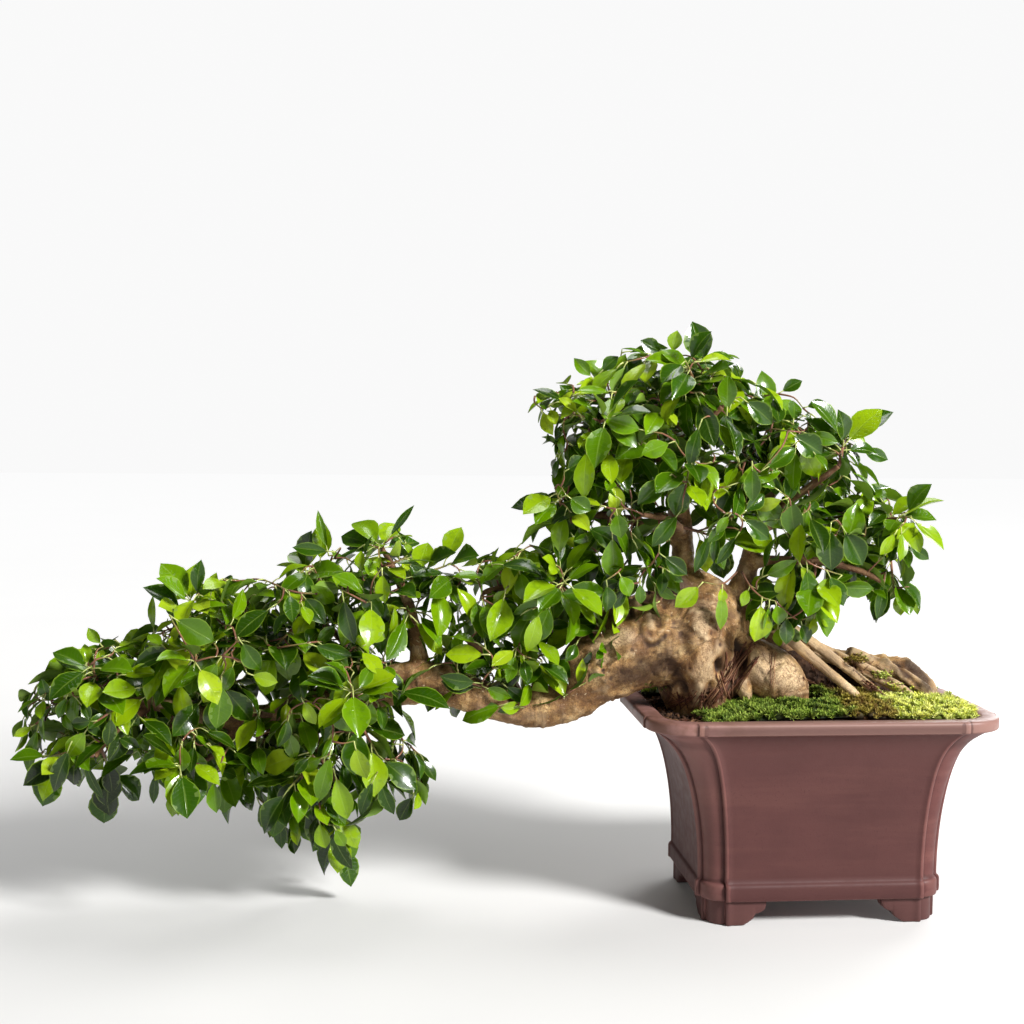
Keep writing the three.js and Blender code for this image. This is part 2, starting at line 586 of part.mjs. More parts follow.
// One thin blade, keeled along its midrib and arched towards its tip, on a tapering stalk sunk in the twig
function leafSolid({ root, ahead, face, length, width }, extra = 0) {
  const right = ahead.clone().cross(face).normalize();
  const place = (along, across, lift) => root.clone().addScaledVector(ahead, along * length)
    .addScaledVector(right, across * width * 0.5 + Math.sign(across) * extra).addScaledVector(face, lift);
  const points = [root.clone()];
  for (const [share, wide, sag, fold] of [[0.48, 1, 0.02, 0.08], [0.8, 0.68, 0.07, 0.05]]) {
    const edge = fold * width - sag * length + extra;
    points.push(place(share, -wide, edge), place(share, wide, edge));
    points.push(place(share, 0, -sag * length - LEAF_THICKNESS - extra));
  }
  points.push(place(1, 0, -0.14 * length));
  const triangles = [];
  for (const [a, b] of [[1, 2], [2, 3], [3, 1]]) {
    triangles.push(0, b, a);
    triangles.push(a, b, b + 3, a, b + 3, a + 3);
    triangles.push(a + 3, b + 3, 7);
  }
  return solidOf(points, triangles);
}

// Leaf number k of a spray: where it grows on the twig, where it points and how large it is
function leafPlan({ along, from, droop, random }, k) {
  const first = Math.max(LEAF_SHARE[0], from + BARE_TWIG);
  const share = THREE.MathUtils.lerp(first, LEAF_SHARE[1], random());
  const root = twigMiddle(along, from, share);
  const ahead = along(1).sub(along(0)).normalize();
  const aside = Math.abs(ahead.z) < 0.9 ? UP.clone() : new THREE.Vector3(1, 0, 0);
  aside.addScaledVector(ahead, -aside.dot(ahead)).normalize();
  const radial = aside.clone().applyAxisAngle(ahead, k * GOLDEN_ANGLE + random());
  const spread = 0.75 + 0.5 * random();
  const direction = ahead.clone().multiplyScalar(1 - 0.35 * spread).addScaledVector(radial, spread);
  direction.z -= 0.12 + droop * (0.6 + 0.6 * random());
  direction.normalize();
  const face = new THREE.Vector3(0.5 * random() - 0.2, -0.55 - 0.3 * random(), 0.9).addScaledVector(radial, 0.35);
  face.addScaledVector(direction, -face.dot(direction)).normalize();
  const length = THREE.MathUtils.lerp(LEAF_LENGTH[0], LEAF_LENGTH[1], random());
  const width = length * LEAF_ASPECT * (0.88 + 0.24 * random());
  return { root, ahead: direction, face, length: length * STALK, width };
}

const meet = (a, b) => a.min.every((v, c) => v < b.max[c]) && b.min.every((v, c) => v < a.max[c]);

// Solids that a new one must stay clear of
class Crowd {
  constructor(solids) {
    this.entries = [];
    solids.forEach((solid) => this.add(solid));
  }

  add(solid, owner = null) {
    this.entries.push({ solid, owner, bounds: solid.boundingBox() });
  }

  clear(probe, owner = null) {
    const bounds = probe.boundingBox();
    return !this.entries.some((entry) => (owner === null || entry.owner !== owner)
      && meet(entry.bounds, bounds) && !entry.solid.intersect(probe).isEmpty());
  }
}

// Finds the first swing of a twig that keeps clear of everything once it has left the bark
function growTwig(spray, crowd) {
  for (let attempt = 0; attempt < TWIG_TRIES; attempt += 1) {
    const along = twigSpine(spray, attempt);
    for (let from = TWIG_STEP; from < TWIG_BEND - 0.1; from += TWIG_STEP) {
      if (crowd.clear(twigSolid(along, from))) return { along, from };
    }
  }
  throw new Error(`${spray.name} finds no room`);
}

// Grows all twigs, then the leaves of every spray in turn; a leaf that would touch anything else is left out
function foliage(sprays, neighbours) {
  const crowd = new Crowd(neighbours);
  for (const spray of sprays) {
    Object.assign(spray, growTwig(spray, crowd));
    crowd.add(twigSolid(spray.along, spray.from, GAP), spray.name);
  }
  for (const spray of sprays) {
    spray.random = generator(spray.seed);
    spray.leaves = [];
  }
  for (let k = 0; k < LEAF_TRIES; k += 1) {
    for (const spray of sprays) {
      const plan = leafPlan(spray, k);
      const wanted = spray.leaves.length < LEAVES_PER_SPRAY;
      if (wanted && crowd.clear(leafSolid(plan, LEAF_CLEARANCE), spray.name)) {
        const leaf = leafSolid(plan);
        crowd.add(leaf);
        spray.leaves.push(leaf);
      }
    }
  }
  return sprays.map(({ name, along, from, leaves }) => (
    [name, wasm.Manifold.union([twigSolid(along, from), ...leaves])]
  ));
}

function meshOf(name, solid, colour, roughness) {
  const { vertProperties, triVerts, numProp } = solid.getMesh();
  const position = new Float32Array((vertProperties.length / numProp) * 3);
  for (let i = 0; i < position.length / 3; i += 1) {
    for (let c = 0; c < 3; c += 1) position[3 * i + c] = vertProperties[numProp * i + c];
  }
  const geometry = new THREE.BufferGeometry();
  geometry.setAttribute('position', new THREE.BufferAttribute(position, 3));
  geometry.setIndex(Array.from(triVerts));
  geometry.computeVertexNormals();
  const material = new THREE.MeshStandardMaterial({ color: colour, roughness, metalness: 0 });
  const mesh = new THREE.Mesh(geometry, material);
  mesh.name = name;
  return mesh;
}

function buildBonsai() {
  const sprays = sprayLayout();
  const wood = woodSolid(0);
  const roomForWood = woodSolid(GAP);
  const pot = potSolid();
  const soil = soilSolid(roomForWood);
  const moss = {
    moss_front_dark: mossPatch(-118, -14, mossFront, mossMiddle, roomForWood),
    moss_front_brown: mossPatch(-14, 38, mossFront, mossMiddle, roomForWood),
    moss_front_bright: mossPatch(38, 170, mossFront, mossMiddle, roomForWood),
    moss_back_dark: mossPatch(-170, 170, mossBehind, mossBack, roomForWood),
  };
  const meshes = [
    meshOf('pot', pot, COLOURS.pot, 0.55),
    meshOf('soil', soil, COLOURS.soil, 0.95),
    meshOf('wood', wood, COLOURS.bark, 0.8),
    meshOf('drain_screen_left', screenSolid(-1), COLOURS.screen, 0.6),
    meshOf('drain_screen_right', screenSolid(1), COLOURS.screen, 0.6),
  ];
  for (const [name, solid] of Object.entries(moss)) {
    meshes.push(meshOf(name, solid, COLOURS[name.replace('front_', '').replace('back_', '')], 0.95));
  }
  for (const [name, solid] of foliage(sprays, [roomForWood, pot, soil, ...Object.values(moss)])) {
    meshes.push(meshOf(name, solid, COLOURS.leaf, 0.35));
  }
  const bonsai = new THREE.Group();
  bonsai.add(...meshes);
  const bounds = new THREE.Box3().setFromObject(bonsai);
  const centre = bounds.getCenter(new THREE.Vector3());
  bonsai.position.set(-centre.x, -centre.y, -bounds.min.z);
  return bonsai;
}

export default buildBonsai();
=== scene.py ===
"""Looks of a cascading banyan bonsai in its stoneware pot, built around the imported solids.

Plant and pot are described in millimetres in the pot's own frame: x along its front, y to its back, z up
from the floor under its middle. place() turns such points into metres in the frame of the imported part.
"""

import math

import bmesh
import bpy
import numpy as np
from mathutils import Matrix, Vector, noise
from mathutils.bvhtree import BVHTree
from mathutils.kdtree import KDTree


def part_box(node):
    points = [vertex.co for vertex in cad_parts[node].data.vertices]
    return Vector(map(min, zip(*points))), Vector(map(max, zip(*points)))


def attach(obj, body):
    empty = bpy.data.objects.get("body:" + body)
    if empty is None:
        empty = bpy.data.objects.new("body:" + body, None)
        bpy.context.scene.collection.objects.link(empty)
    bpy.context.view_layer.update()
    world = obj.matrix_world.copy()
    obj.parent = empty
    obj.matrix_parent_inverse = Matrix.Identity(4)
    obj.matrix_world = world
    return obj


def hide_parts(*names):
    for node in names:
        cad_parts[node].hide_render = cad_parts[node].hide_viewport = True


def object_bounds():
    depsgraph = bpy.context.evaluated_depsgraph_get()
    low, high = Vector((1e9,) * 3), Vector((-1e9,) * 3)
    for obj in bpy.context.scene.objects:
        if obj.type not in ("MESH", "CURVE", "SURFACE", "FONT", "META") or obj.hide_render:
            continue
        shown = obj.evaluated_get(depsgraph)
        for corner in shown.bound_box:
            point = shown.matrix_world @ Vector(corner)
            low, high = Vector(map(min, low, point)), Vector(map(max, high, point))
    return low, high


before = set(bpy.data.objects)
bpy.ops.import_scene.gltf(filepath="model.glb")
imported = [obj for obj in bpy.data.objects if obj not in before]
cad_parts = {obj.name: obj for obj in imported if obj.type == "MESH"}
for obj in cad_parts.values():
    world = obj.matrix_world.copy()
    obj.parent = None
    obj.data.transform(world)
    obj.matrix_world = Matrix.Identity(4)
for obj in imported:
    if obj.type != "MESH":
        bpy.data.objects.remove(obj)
CAD_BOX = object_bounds()
POT_LOW, POT_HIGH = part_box("pot")
ORIGIN = np.array([(POT_LOW.x + POT_HIGH.x) / 2, (POT_LOW.y + POT_HIGH.y) / 2, 0.0])
MM = 0.001

# Camera: photo width in pixels, focal length in pixels, angles in radians, place in mm
PHOTO_WIDTH = 1024
FOCAL = 1494.97
YAW, PITCH, ROLL = 0.0963, 0.0596, -0.0097
EYE = (-438.4, -1463.7, 478.8)
SENSOR = 36.0

# Lights: place in mm, width in metres, power in watts; then the light of the room and of the backdrop
LIGHTS = {
    "key": ((2550, -2680, 2760), 1.2, 410),
    "fill": ((-1700, -1300, 900), 1.2, 3.5),
    "top": ((-300, 500, 1900), 0.9, 13),
    "back": ((1100, 1300, 900), 0.9, 18),
}
AMBIENT = 0.065
BACKDROP = 0.95
WHITE = (1.0, 1.0, 1.0, 1.0)
DAYLIGHT = (0.93, 0.96, 1.0, 1.0)
# Glow of the floor far from the plant, where no light reaches it, the distance in metres at which it is half,
# and half the floor's width in metres
FLOOR_GLOW = 0.93
FLOOR_GLOW_REACH = 1.5
FLOOR_REACH = 12.0
# What the lights point at, in mm
LIT_SPOT = (-230, 0, 260)

# Pot: half length, half depth and corner notch of each level, in plan
RIM = (175, 112, 44.5)
WALL_FOOT = (118, 86.5, 20.5)
BAND = (121, 90.5, 24)
FEET = (115, 86.5, 19)
NOTCH_STEP, LIP_STEP, CAVITY_STEP = 3.5, 1.2, 1.0
POT_TOP, LIP_BOTTOM = 200, 188.5
BAND_TOP, BAND_BOTTOM = 41, 24
FLOOR_TOP = 36
LIP_WIDTH, WALL = 20, 10
FOOT_LEG = 16
FOOT_PROFILE = ((0, 0), (34, 0), (37, 0.6), (41, 3), (45, 6), (46.5, 8), (47.5, 11), (51, 11.6), (55, 13.5),
                (57.2, 16), (58, 19))
FOOT_EDGE = 1.4
FOOT_TOP = BAND_BOTTOM + 1.5
# Where a leg's straight stretch meets the corner, beyond the notch, and its number of sections
LEG_START, LEG_STEPS = 9.5, 26
DRAIN_HOLE_X, DRAIN_HOLE_RADIUS = 55, 14
# Profiles of the foot band and of the lip: way in from their outline, and height
BAND_PROFILE = ((4, 24), (1.4, 24.1), (0.4, 24.6), (0, 25.6), (0, 31), (0, 36.5), (0.3, 38.2), (1.1, 39.6),
                (2.2, 40.4), (2.8, 40.9))
LIP_PROFILE = ((3.2, 188.4), (1.2, 188.5), (0.3, 189.1), (0, 190.2), (-0.2, 194), (0, 197), (0.6, 198.6),
               (1.7, 199.6), (3.2, 200), (9, 200.2), (LIP_WIDTH - 5, 200), (LIP_WIDTH - 2.4, 199.5))
# Number of rings of the wall, their distance from band and lip, and the height over which the beads fade out
WALL_RINGS, WALL_GAP, BEAD_FADE = 34, 1.2, 14
# Heights of the rings of the inside, and the height from which it narrows to the lip
CAVITY_HEIGHTS = (198, 194, 188.5, 176, 150, 60, FLOOR_TOP + 0.2)
CAVITY_NARROWS = 150
# Bead along the edges of a panel: way in from the notch, and share of the bead's height; then that height
BEAD_PROFILE = ((-9.0, 0.0), (-6.0, 0.15), (-4.2, 0.7), (-2.6, 1.0), (-1.0, 0.75), (0.1, 0.0))
BAND_BEAD, WALL_BEAD, LIP_BEAD, FOOT_BEAD = 1.2, 1.4, 0.4, 1.0
LOBE_STEPS = 14

# Wood, as spines of (x, y, z, radius)
TRUNK = (
    (-82, 8, 112, 12), (-85, 8, 142, 20), (-89, 7, 174, 29), (-100, 3, 214, 44),
    (-110, -2, 256, 53), (-118, 0, 292, 46), (-130, 2, 322, 27), (-136, 2, 338, 13),
)
LIMB = (
    (-112, -2, 258, 44), (-160, -7, 262, 47), (-195, -12, 248, 41), (-219, -18, 231, 35),
    (-239, -24, 212, 24), (-257, -28, 203.5, 19.5), (-280, -30, 201, 18.5), (-310, -30, 206.5, 17),
    (-336, -28, 213.5, 17), (-372, -22, 226, 19), (-406, -14, 224, 21), (-455, -4, 214, 17),
    (-504, 2, 196, 14), (-540, 2, 189, 12.5), (-578, 0, 190, 11), (-614, -4, 199, 9),
    (-650, -8, 206, 7), (-682, -7, 205, 4.8), (-705, -5, 200, 3.4),
)
LEFT_LEADER = (
    (-136, 0, 306, 26), (-128, 0, 332, 15), (-125, 0, 354, 11), (-129, 2, 386, 11),
    (-134, 4, 420, 10), (-135, 6, 452, 8), (-126, 3, 480, 5.5), (-108, -5, 502, 3.4),
)
RIGHT_LEADER = (
    (-78, 0, 276, 28), (-68, 0, 304, 17), (-60, 0, 332, 10.5), (-52, 2, 362, 9),
    (-43, 3, 396, 7.5), (-33, 2, 426, 5.5), (-22, 0, 452, 3.6),
)
BULB_ROOT = ((-76, -10, 262, 16), (-56, -20, 245, 24), (-36, -28, 229, 27), (-25, -33, 212, 22),
             (-28, -36, 196, 13))
SURFACE_ROOTS = (
    ((-70, -8, 292, 9), (-40, -18, 282, 6.4), (0, -29, 249, 5.8), (38, -41, 217, 4.8), (52, -46, 198, 4.2)),
    ((-70, 0, 288, 10), (-22, -6, 279, 6.4), (25, -22, 247, 5.2), (66, -35, 214, 4.6), (80, -40, 198, 4)),
    ((-84, 12, 272, 20), (-44, 18, 264, 14), (0, 22, 252, 11), (42, 22, 240, 9.5), (82, 20, 235, 9.5),
     (112, 15, 232, 9), (130, 8, 217, 7.5), (143, 2, 198, 5.5)),
    ((14, 10, 252, 9), (58, -8, 235, 7), (96, -22, 215, 6), (112, -28, 197, 5)),
    ((52, 14, 246, 9), (94, 2, 231, 7.5), (124, -8, 213, 6.5), (136, -12, 196, 5)),
    ((56, 26, 244, 9), (98, 40, 225, 7), (124, 52, 206, 6), (130, 56, 192, 4.5)),
    ((-108, 34, 244, 20), (-118, 58, 214, 12), (-124, 70, 188, 8)),
    ((-62, 34, 240, 18), (-42, 58, 214, 11), (-34, 68, 188, 7)),
    ((-98, -30, 226, 14), (-97, -36, 206, 8), (-96, -42, 188, 4)),
    ((-74, -34, 228, 10), (-66, -40, 208, 5), (-62, -44, 190, 3)),
)
ROOT_MAT = ((-44, 24, 236, 28), (-10, 26, 234, 23), (20, 26, 226, 20), (50, 24, 216, 20), (84, 20, 208, 19),
            (114, 12, 203, 14))
BRANCHES = (
    ((-134, 5, 430, 6.5), (-156, 5, 450, 5), (-182, 5, 466, 4), (-214, 2, 478, 2.6)),
    ((-131, 3, 405, 7), (-150, 30, 425, 4.6), (-172, 48, 452, 3.4), (-192, 56, 468, 2.4)),
    ((-134, 5, 440, 6), (-124, -22, 462, 4), (-112, -45, 482, 3), (-102, -58, 496, 2.4)),
    ((-112, -3, 498, 4), (-92, 8, 514, 3.2), (-76, 20, 522, 2.4)),
    ((-24, 0, 448, 4), (0, 4, 460, 3.2), (24, 6, 464, 2.4)),
    ((-43, 3, 396, 7), (-22, 28, 420, 4.6), (2, 48, 438, 3.4), (20, 58, 446, 2.4)),
    ((-46, 3, 385, 7), (-22, -22, 406, 4.6), (2, -44, 428, 3.2), (14, -56, 440, 2.4)),
    ((-48, 3, 374, 7), (-12, 0, 390, 4.8), (28, -2, 390, 4), (62, 2, 382, 3.2), (88, 8, 366, 2.4)),
    ((-58, 0, 342, 8), (-36, -20, 345, 4.8), (0, -38, 346, 3.8), (40, -44, 338, 3), (66, -44, 326, 2.4)),
    ((-128, 0, 362, 8), (-160, -2, 378, 5.4), (-194, -4, 387, 4.2), (-222, -6, 388, 3.2),
     (-246, -8, 380, 2.4)),
    ((-128, -2, 372, 7), (-138, -28, 380, 4.4), (-154, -46, 388, 3.2), (-176, -54, 392, 2.4)),
    ((-128, 4, 378, 7), (-146, 30, 388, 4.4), (-172, 48, 394, 3.2), (-202, 54, 396, 2.4)),
    ((-190, -8, 266, 14), (-226, -8, 302, 7), (-266, -9, 316, 4.8), (-302, -10, 318, 3.4),
     (-326, -10, 312, 2.4)),
    ((-292, -30, 205, 11), (-306, -26, 238, 5.5), (-326, -26, 258, 4), (-344, -30, 270, 2.6)),
    ((-385, -19, 226, 12), (-392, -12, 274, 6.8), (-402, -5, 310, 5), (-415, 0, 338, 3.4),
     (-424, 2, 354, 2.4)),
    ((-452, -4, 214, 11), (-474, 0, 246, 6), (-494, 2, 274, 4.6), (-512, 2, 300, 3.2), (-520, 0, 316, 2.4)),
    ((-560, 1, 189, 9), (-575, -2, 220, 5.4), (-590, -2, 246, 4.2), (-606, -2, 266, 3), (-618, -2, 278, 2.4)),
    ((-438, -6, 218, 10), (-450, 26, 242, 5), (-470, 48, 264, 3.6), (-490, 58, 278, 2.4)),
    ((-492, 0, 199, 9), (-490, -4, 172, 5), (-478, -10, 144, 3.6), (-462, -12, 118, 2.4)),
    ((-556, 1, 189, 8), (-572, -4, 170, 4.6), (-586, -8, 155, 3.4), (-604, -10, 144, 2.4)),
    ((-428, -10, 220, 10), (-440, -38, 222, 5), (-456, -54, 208, 3.6), (-470, -60, 192, 2.4)),
    ((-644, -8, 205, 5), (-666, -20, 190, 4), (-684, -30, 174, 3), (-694, -36, 160, 2.4)),
    ((-518, 1, 193, 8), (-528, 28, 184, 4.6), (-536, 46, 168, 3.4), (-542, 56, 152, 2.4)),
)
# Every thick stem with its number of sides and the depth of its flutes, then the number of flutes and how far
# they turn from one ring to the next, in radians
STEMS = (
    (TRUNK, 40, 0.07), (LIMB, 32, 0.05), (LEFT_LEADER, 24, 0.06), (RIGHT_LEADER, 24, 0.06),
    (BULB_ROOT, 32, 0.0), *((root, 16, 0.04) for root in SURFACE_ROOTS),
)
FLUTES = 3
FLUTE_TURN = 0.35 / 8
# Branches are fused with the trunk where their radius is above this
THICK_BRANCH = 3.7
WOOD_VOXEL, ROOT_MAT_VOXEL, MOSS_VOXEL = 1.9, 2.2, 1.8
# Height from which the soil is probed, and the least height of its top
ABOVE_SOIL, SOIL_TOP_FROM = 300, 150
# Noise of the wood's relief: size of the lumps in mm, octaves and seed; then how high some of the lumps are
SWELLS, FURROWS, KNOTS, WRINKLES, RIDGES = (38, 3, 1.0), (15, 3, 2.0), (12, 3, 8.0), (5, 3, 3.0), (9, 3, 7.0)
SWELL_HEIGHT, FURROW_HEIGHT, RIDGE_HEIGHT = 3.0, 2.0, 1.6
# The roots at the right rear grow knotty from one place to another along x and along y, to this height
KNOTTY_X, KNOTTY_Y, KNOT_HEIGHT = (30, 80), (-10, 12), 2.4
# Roots start right of this x, lie under this height, and keep the bark of a stem of this radius at least
ROOTS_FROM, ROOTS_UNDER, ROOT_BARK = -70, 300, 7.5

# Marks on the trunk, the limb and the roots, where the photo shows them: height in mm (a hollow is negative),
# radius in mm, how dark (a pale one is negative), and the photo's pixels that the mark runs through
# The dark that the marks give is mostly painted shade: in creases and hollows, under the limb and under the
# leaves.
MARKS = (
    (7.0, 9.0, 0.2, ((644, 577), (653, 574), (664, 578), (676, 584))),
    (3.0, 3.0, 0.1, ((638, 600), (645, 592), (654, 595), (655, 604), (648, 610), (640, 607), (638, 600))),
    (-3.0, 3.5, 0.9, ((646, 601), (647, 602))),
    (3.2, 4.0, -0.1, ((618, 604), (628, 602), (636, 607), (634, 618), (640, 630), (650, 640),
                      (661, 636), (668, 620))),
    (3.5, 8.0, -0.4, ((652, 617), (653, 627))),
    (-3.0, 4.0, 0.8, ((630, 611), (636, 621), (641, 631))),
    (-2.2, 2.6, 0.8, ((641, 635), (648, 644), (657, 643), (665, 635))),
    (4.0, 14.0, -0.8, ((600, 652), (612, 643), (626, 640))),
    (0.0, 10.0, 0.7, ((584, 634), (596, 622), (612, 616), (628, 614))),
    (0.0, 12.0, 0.4, ((600, 690), (625, 680), (650, 672))),
    (0.0, 20.0, 0.65, ((640, 662), (655, 670), (668, 650))),
    (0.0, 20.0, 0.5, ((590, 668), (625, 668))),
    (0.0, 12.0, 0.9, ((640, 578), (655, 584), (668, 596))),
    (0.0, 12.0, 0.75, ((674, 584), (686, 588), (696, 594))),
    (0.0, 9.0, 0.7, ((716, 640), (722, 652), (720, 664))),
    (0.0, 7.0, 1.3, ((910, 664), (920, 674), (928, 686))),
    (3.0, 3.5, 0.2, ((862, 655), (870, 659))),
    (2.5, 3.0, 0.3, ((880, 668), (888, 672))),
    (2.5, 3.0, 0.0, ((896, 668), (900, 676))),
    (-2.0, 2.5, 1.2, ((836, 652), (848, 662), (862, 676), (876, 692))),
    (0.0, 5.0, 0.7, ((872, 656), (888, 664), (904, 676))),
    (0.0, 6.0, 0.6, ((520, 714), (545, 716), (570, 710))),
    (0.0, 5.0, -0.6, ((600, 664), (616, 660), (632, 664))),
    (-2.6, 8.0, 0.55, ((676, 600), (681, 615), (685, 632), (689, 650))),
    (-5.0, 8.0, 0.9, ((668, 664), (675, 672), (682, 682))),
    (-4.0, 4.0, 0.7, ((668, 690), (676, 684), (684, 690), (690, 702))),
    (0.0, 17.0, -0.8, ((765, 668), (780, 668), (792, 676))),
    (0.0, 6.0, -1.0, ((796, 634), (830, 664), (856, 690))),
    (0.0, 5.0, -0.8, ((842, 658), (866, 676), (886, 690))),
    (-2.5, 3.5, 0.9, ((846, 664), (868, 672), (890, 680))),
    (-2.5, 3.5, 0.9, ((895, 662), (908, 674), (918, 686))),
    (3.0, 4.0, 0.1, ((884, 656), (888, 662))),
    (3.0, 4.0, 0.0, ((905, 656), (909, 662))),
    (3.0, 15.0, -0.5, ((700, 604), (700, 630), (706, 652), (704, 674))),
    (5.0, 11.0, -0.1, ((716, 588), (716, 618), (719, 645))),
    (3.0, 9.0, -0.2, ((735, 594), (736, 620))),
    (-14.0, 6.0, 1.6, ((741, 643), (741, 655), (738, 668), (730, 680))),
    (-8.0, 3.6, 1.4, ((717, 662), (719, 669))),
    (3.5, 5.0, 0.0, ((699, 686), (694, 704))),
    (0.0, 9.0, 1.0, ((727, 680), (734, 700))),
    (-3.0, 3.0, 0.8, ((684, 690), (680, 702))),
    (-3.0, 3.0, 0.8, ((710, 684), (706, 704))),
)
PITS = (
    (708, 611), (709, 622), (708, 633), (736, 611), (737, 623), (611, 678), (603, 670), (619, 630),
    (696, 600), (728, 603), (690, 668), (716, 645), (660, 655), (590, 676), (640, 662), (725, 630),
    (700, 640), (632, 650),
)
PIT_DEPTH, PIT_RADIUS, PIT_DARKNESS = 1.6, 1.5, 1.2
# No point farther than this from a mark's middle is touched by it, in mm
MARK_REACH = 90

# Leaves of the solids: where the inner section stands and how far the outer one is from it, as shares of the
# length, then how deep the keel lies under the edges and how far a tip is from its section at least, in mm
INNER_SECTION, SECTIONS_APART = 0.48, 0.32
KEEL_DEPTH, SHORTEST_TIP = 0.9, 4

# Leaves
LEAF_THICKNESS = 0.5
STALK_SHARE = 0.17
STALK_RADII = (0.9, 0.62, 0.6, 0.3)
TWIG_RADII, SHOOT_RADII = (2.0, 0.8), (1.15, 0.55)
# How near the middles of two leaves may be, and from how far apart they can't cross
LEAF_CLEARANCE, LEAF_REACH = 4.0, 46
# Ranges of a blade's fold along its rib, its wavy edge and its curl, then the most that it bends and twists
FOLD, WAVE, CURL = (0.10, 0.50), (0.0, 0.08), (0.4, 2.0)
BEND, TWIST = 0.08, 0.5
# A new leaf's length in mm before its size comes in, and its width as a share of its length
LEAF_LENGTH, LEAF_SHAPE = (40, 60), (0.35, 0.47)
# Share of young leaves, and the sizes of young and of full-grown ones
YOUNG_SHARE, YOUNG_SIZE, GROWN_SIZE = 0.22, (0.5, 0.75), (0.8, 1.1)
# How far leaves point down, and how much farther where they hang; how far they lean out from the end and from
# the sides of a shoot; how unevenly they point and face
FALL, HANGING_FALL = 0.3, 0.6
END_LEAN, SIDE_LEAN = 0.2, (0.8, 1.6)
AIM_SPREAD, FACE_SPREAD = 0.18, 0.55
# Leaves turn their faces a little to the front and up
FACE_TURN = np.array([0, -0.25, 0.35])
# Chance of a bright leaf, and how much it grows at a shoot's end, at the top of a cloud and in the cascade
BRIGHT, BRIGHT_YOUNG, BRIGHT_HIGH, BRIGHT_CASCADE = 0.26, 0.26, 0.12, 0.18
# Mean tint of bright and of dark leaves, and its spread
BRIGHT_TINT, BRIGHT_SPREAD = 0.7, 0.11
DARK_TINT, DARK_SPREAD = 0.26, 0.14
# The cascade's leaves stand left of this x
CASCADE_FROM = -250


# Small helpers

def place(points):
    """Points in mm in the pot's frame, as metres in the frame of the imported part."""
    return np.asarray(points, float) * MM + ORIGIN


def pot_frame(points):
    """The other way round: metres in the part's frame, as mm in the pot's frame."""
    return (np.asarray(points, float) - ORIGIN) / MM


def unit(vectors):
    length = np.linalg.norm(vectors, axis=-1, keepdims=True)
    return vectors / np.maximum(length, 1e-9)


def view_axes():
    """Directions of the photo's right, down and depth."""
    cos_yaw, sin_yaw = math.cos(YAW), math.sin(YAW)
    cos_pitch, sin_pitch = math.cos(PITCH), math.sin(PITCH)
    forward = np.array([sin_yaw * cos_pitch, cos_yaw * cos_pitch, -sin_pitch])
    level = np.array([cos_yaw, -sin_yaw, 0.0])
    down = np.cross(forward, level)
    right = math.cos(ROLL) * level + math.sin(ROLL) * down
    down = -math.sin(ROLL) * level + math.cos(ROLL) * down
    return right, down, forward


VIEW = view_axes()


def sight(pixel):
    """Direction in which the photo shows a pixel."""
    right, down, forward = VIEW
    middle = PHOTO_WIDTH / 2
    return unit(forward + right * (pixel[0] - middle) / FOCAL + down * (pixel[1] - middle) / FOCAL)


def seen_at(tree, pixel):
    """The point of a BVH tree that the photo shows at a pixel, or None."""
    hit = tree.ray_cast(Vector(EYE), Vector(sight(pixel)))[0]
    return None if hit is None else np.array(hit)


def smooth_step(low, high, x):
    t = np.clip((np.asarray(x, float) - low) / (high - low), 0, 1)
    return t * t * (3 - 2 * t)


def add_object(name, data):
    item = bpy.data.objects.new(name, data)
    bpy.context.scene.collection.objects.link(item)
    return item


def mesh_object(name, points, polygons, material):
    """A smooth-shaded mesh of points in mm; polygons is a list of index arrays, one per corner count."""
    mesh = bpy.data.meshes.new(name)
    corners = np.concatenate([p.reshape(-1) for p in polygons]).astype(np.int32)
    totals = np.concatenate([np.full(len(p), p.shape[1]) for p in polygons])
    mesh.vertices.add(len(points))
    mesh.vertices.foreach_set("co", place(points).astype(np.float32).ravel())
    mesh.loops.add(len(corners))
    mesh.loops.foreach_set("vertex_index", corners)
    mesh.polygons.add(len(totals))
    mesh.polygons.foreach_set("loop_start", (np.cumsum(totals) - totals).astype(np.int32))
    mesh.update(calc_edges=True)
    mesh.shade_smooth()
    mesh.materials.append(material)
    return add_object(name, mesh)


def set_values(piece, name, values):
    """Stores one number, or one vector, per point for the piece's material to read."""
    values = np.asarray(values, np.float32)
    kind, slot = ("FLOAT_VECTOR", "vector") if values.ndim == 2 else ("FLOAT", "value")
    layer = piece.data.attributes.new(name, kind, "POINT")
    layer.data.foreach_set(slot, values.ravel())


class Heap:
    """Gathers many small meshes and their per-point values into one piece."""

    def __init__(self):
        self.points, self.polygons, self.values, self.count = [], {}, {}, 0

    def add(self, points, polygons, **values):
        points = np.asarray(points, float).reshape(-1, 3)
        for group in polygons:
            self.polygons.setdefault(group.shape[1], []).append(group + self.count)
        for name, value in values.items():
            value = np.asarray(value, float)
            if value.ndim == 0 or len(value) != len(points):
                value = np.broadcast_to(value, (len(points),) + value.shape)
            self.values.setdefault(name, []).append(value)
        self.points.append(points)
        self.count += len(points)

    def build(self, name, material):
        polygons = [np.concatenate(groups) for groups in self.polygons.values()]
        piece = mesh_object(name, np.concatenate(self.points), polygons, material)
        for key, parts in self.values.items():
            set_values(piece, key, np.concatenate(parts))
        return piece


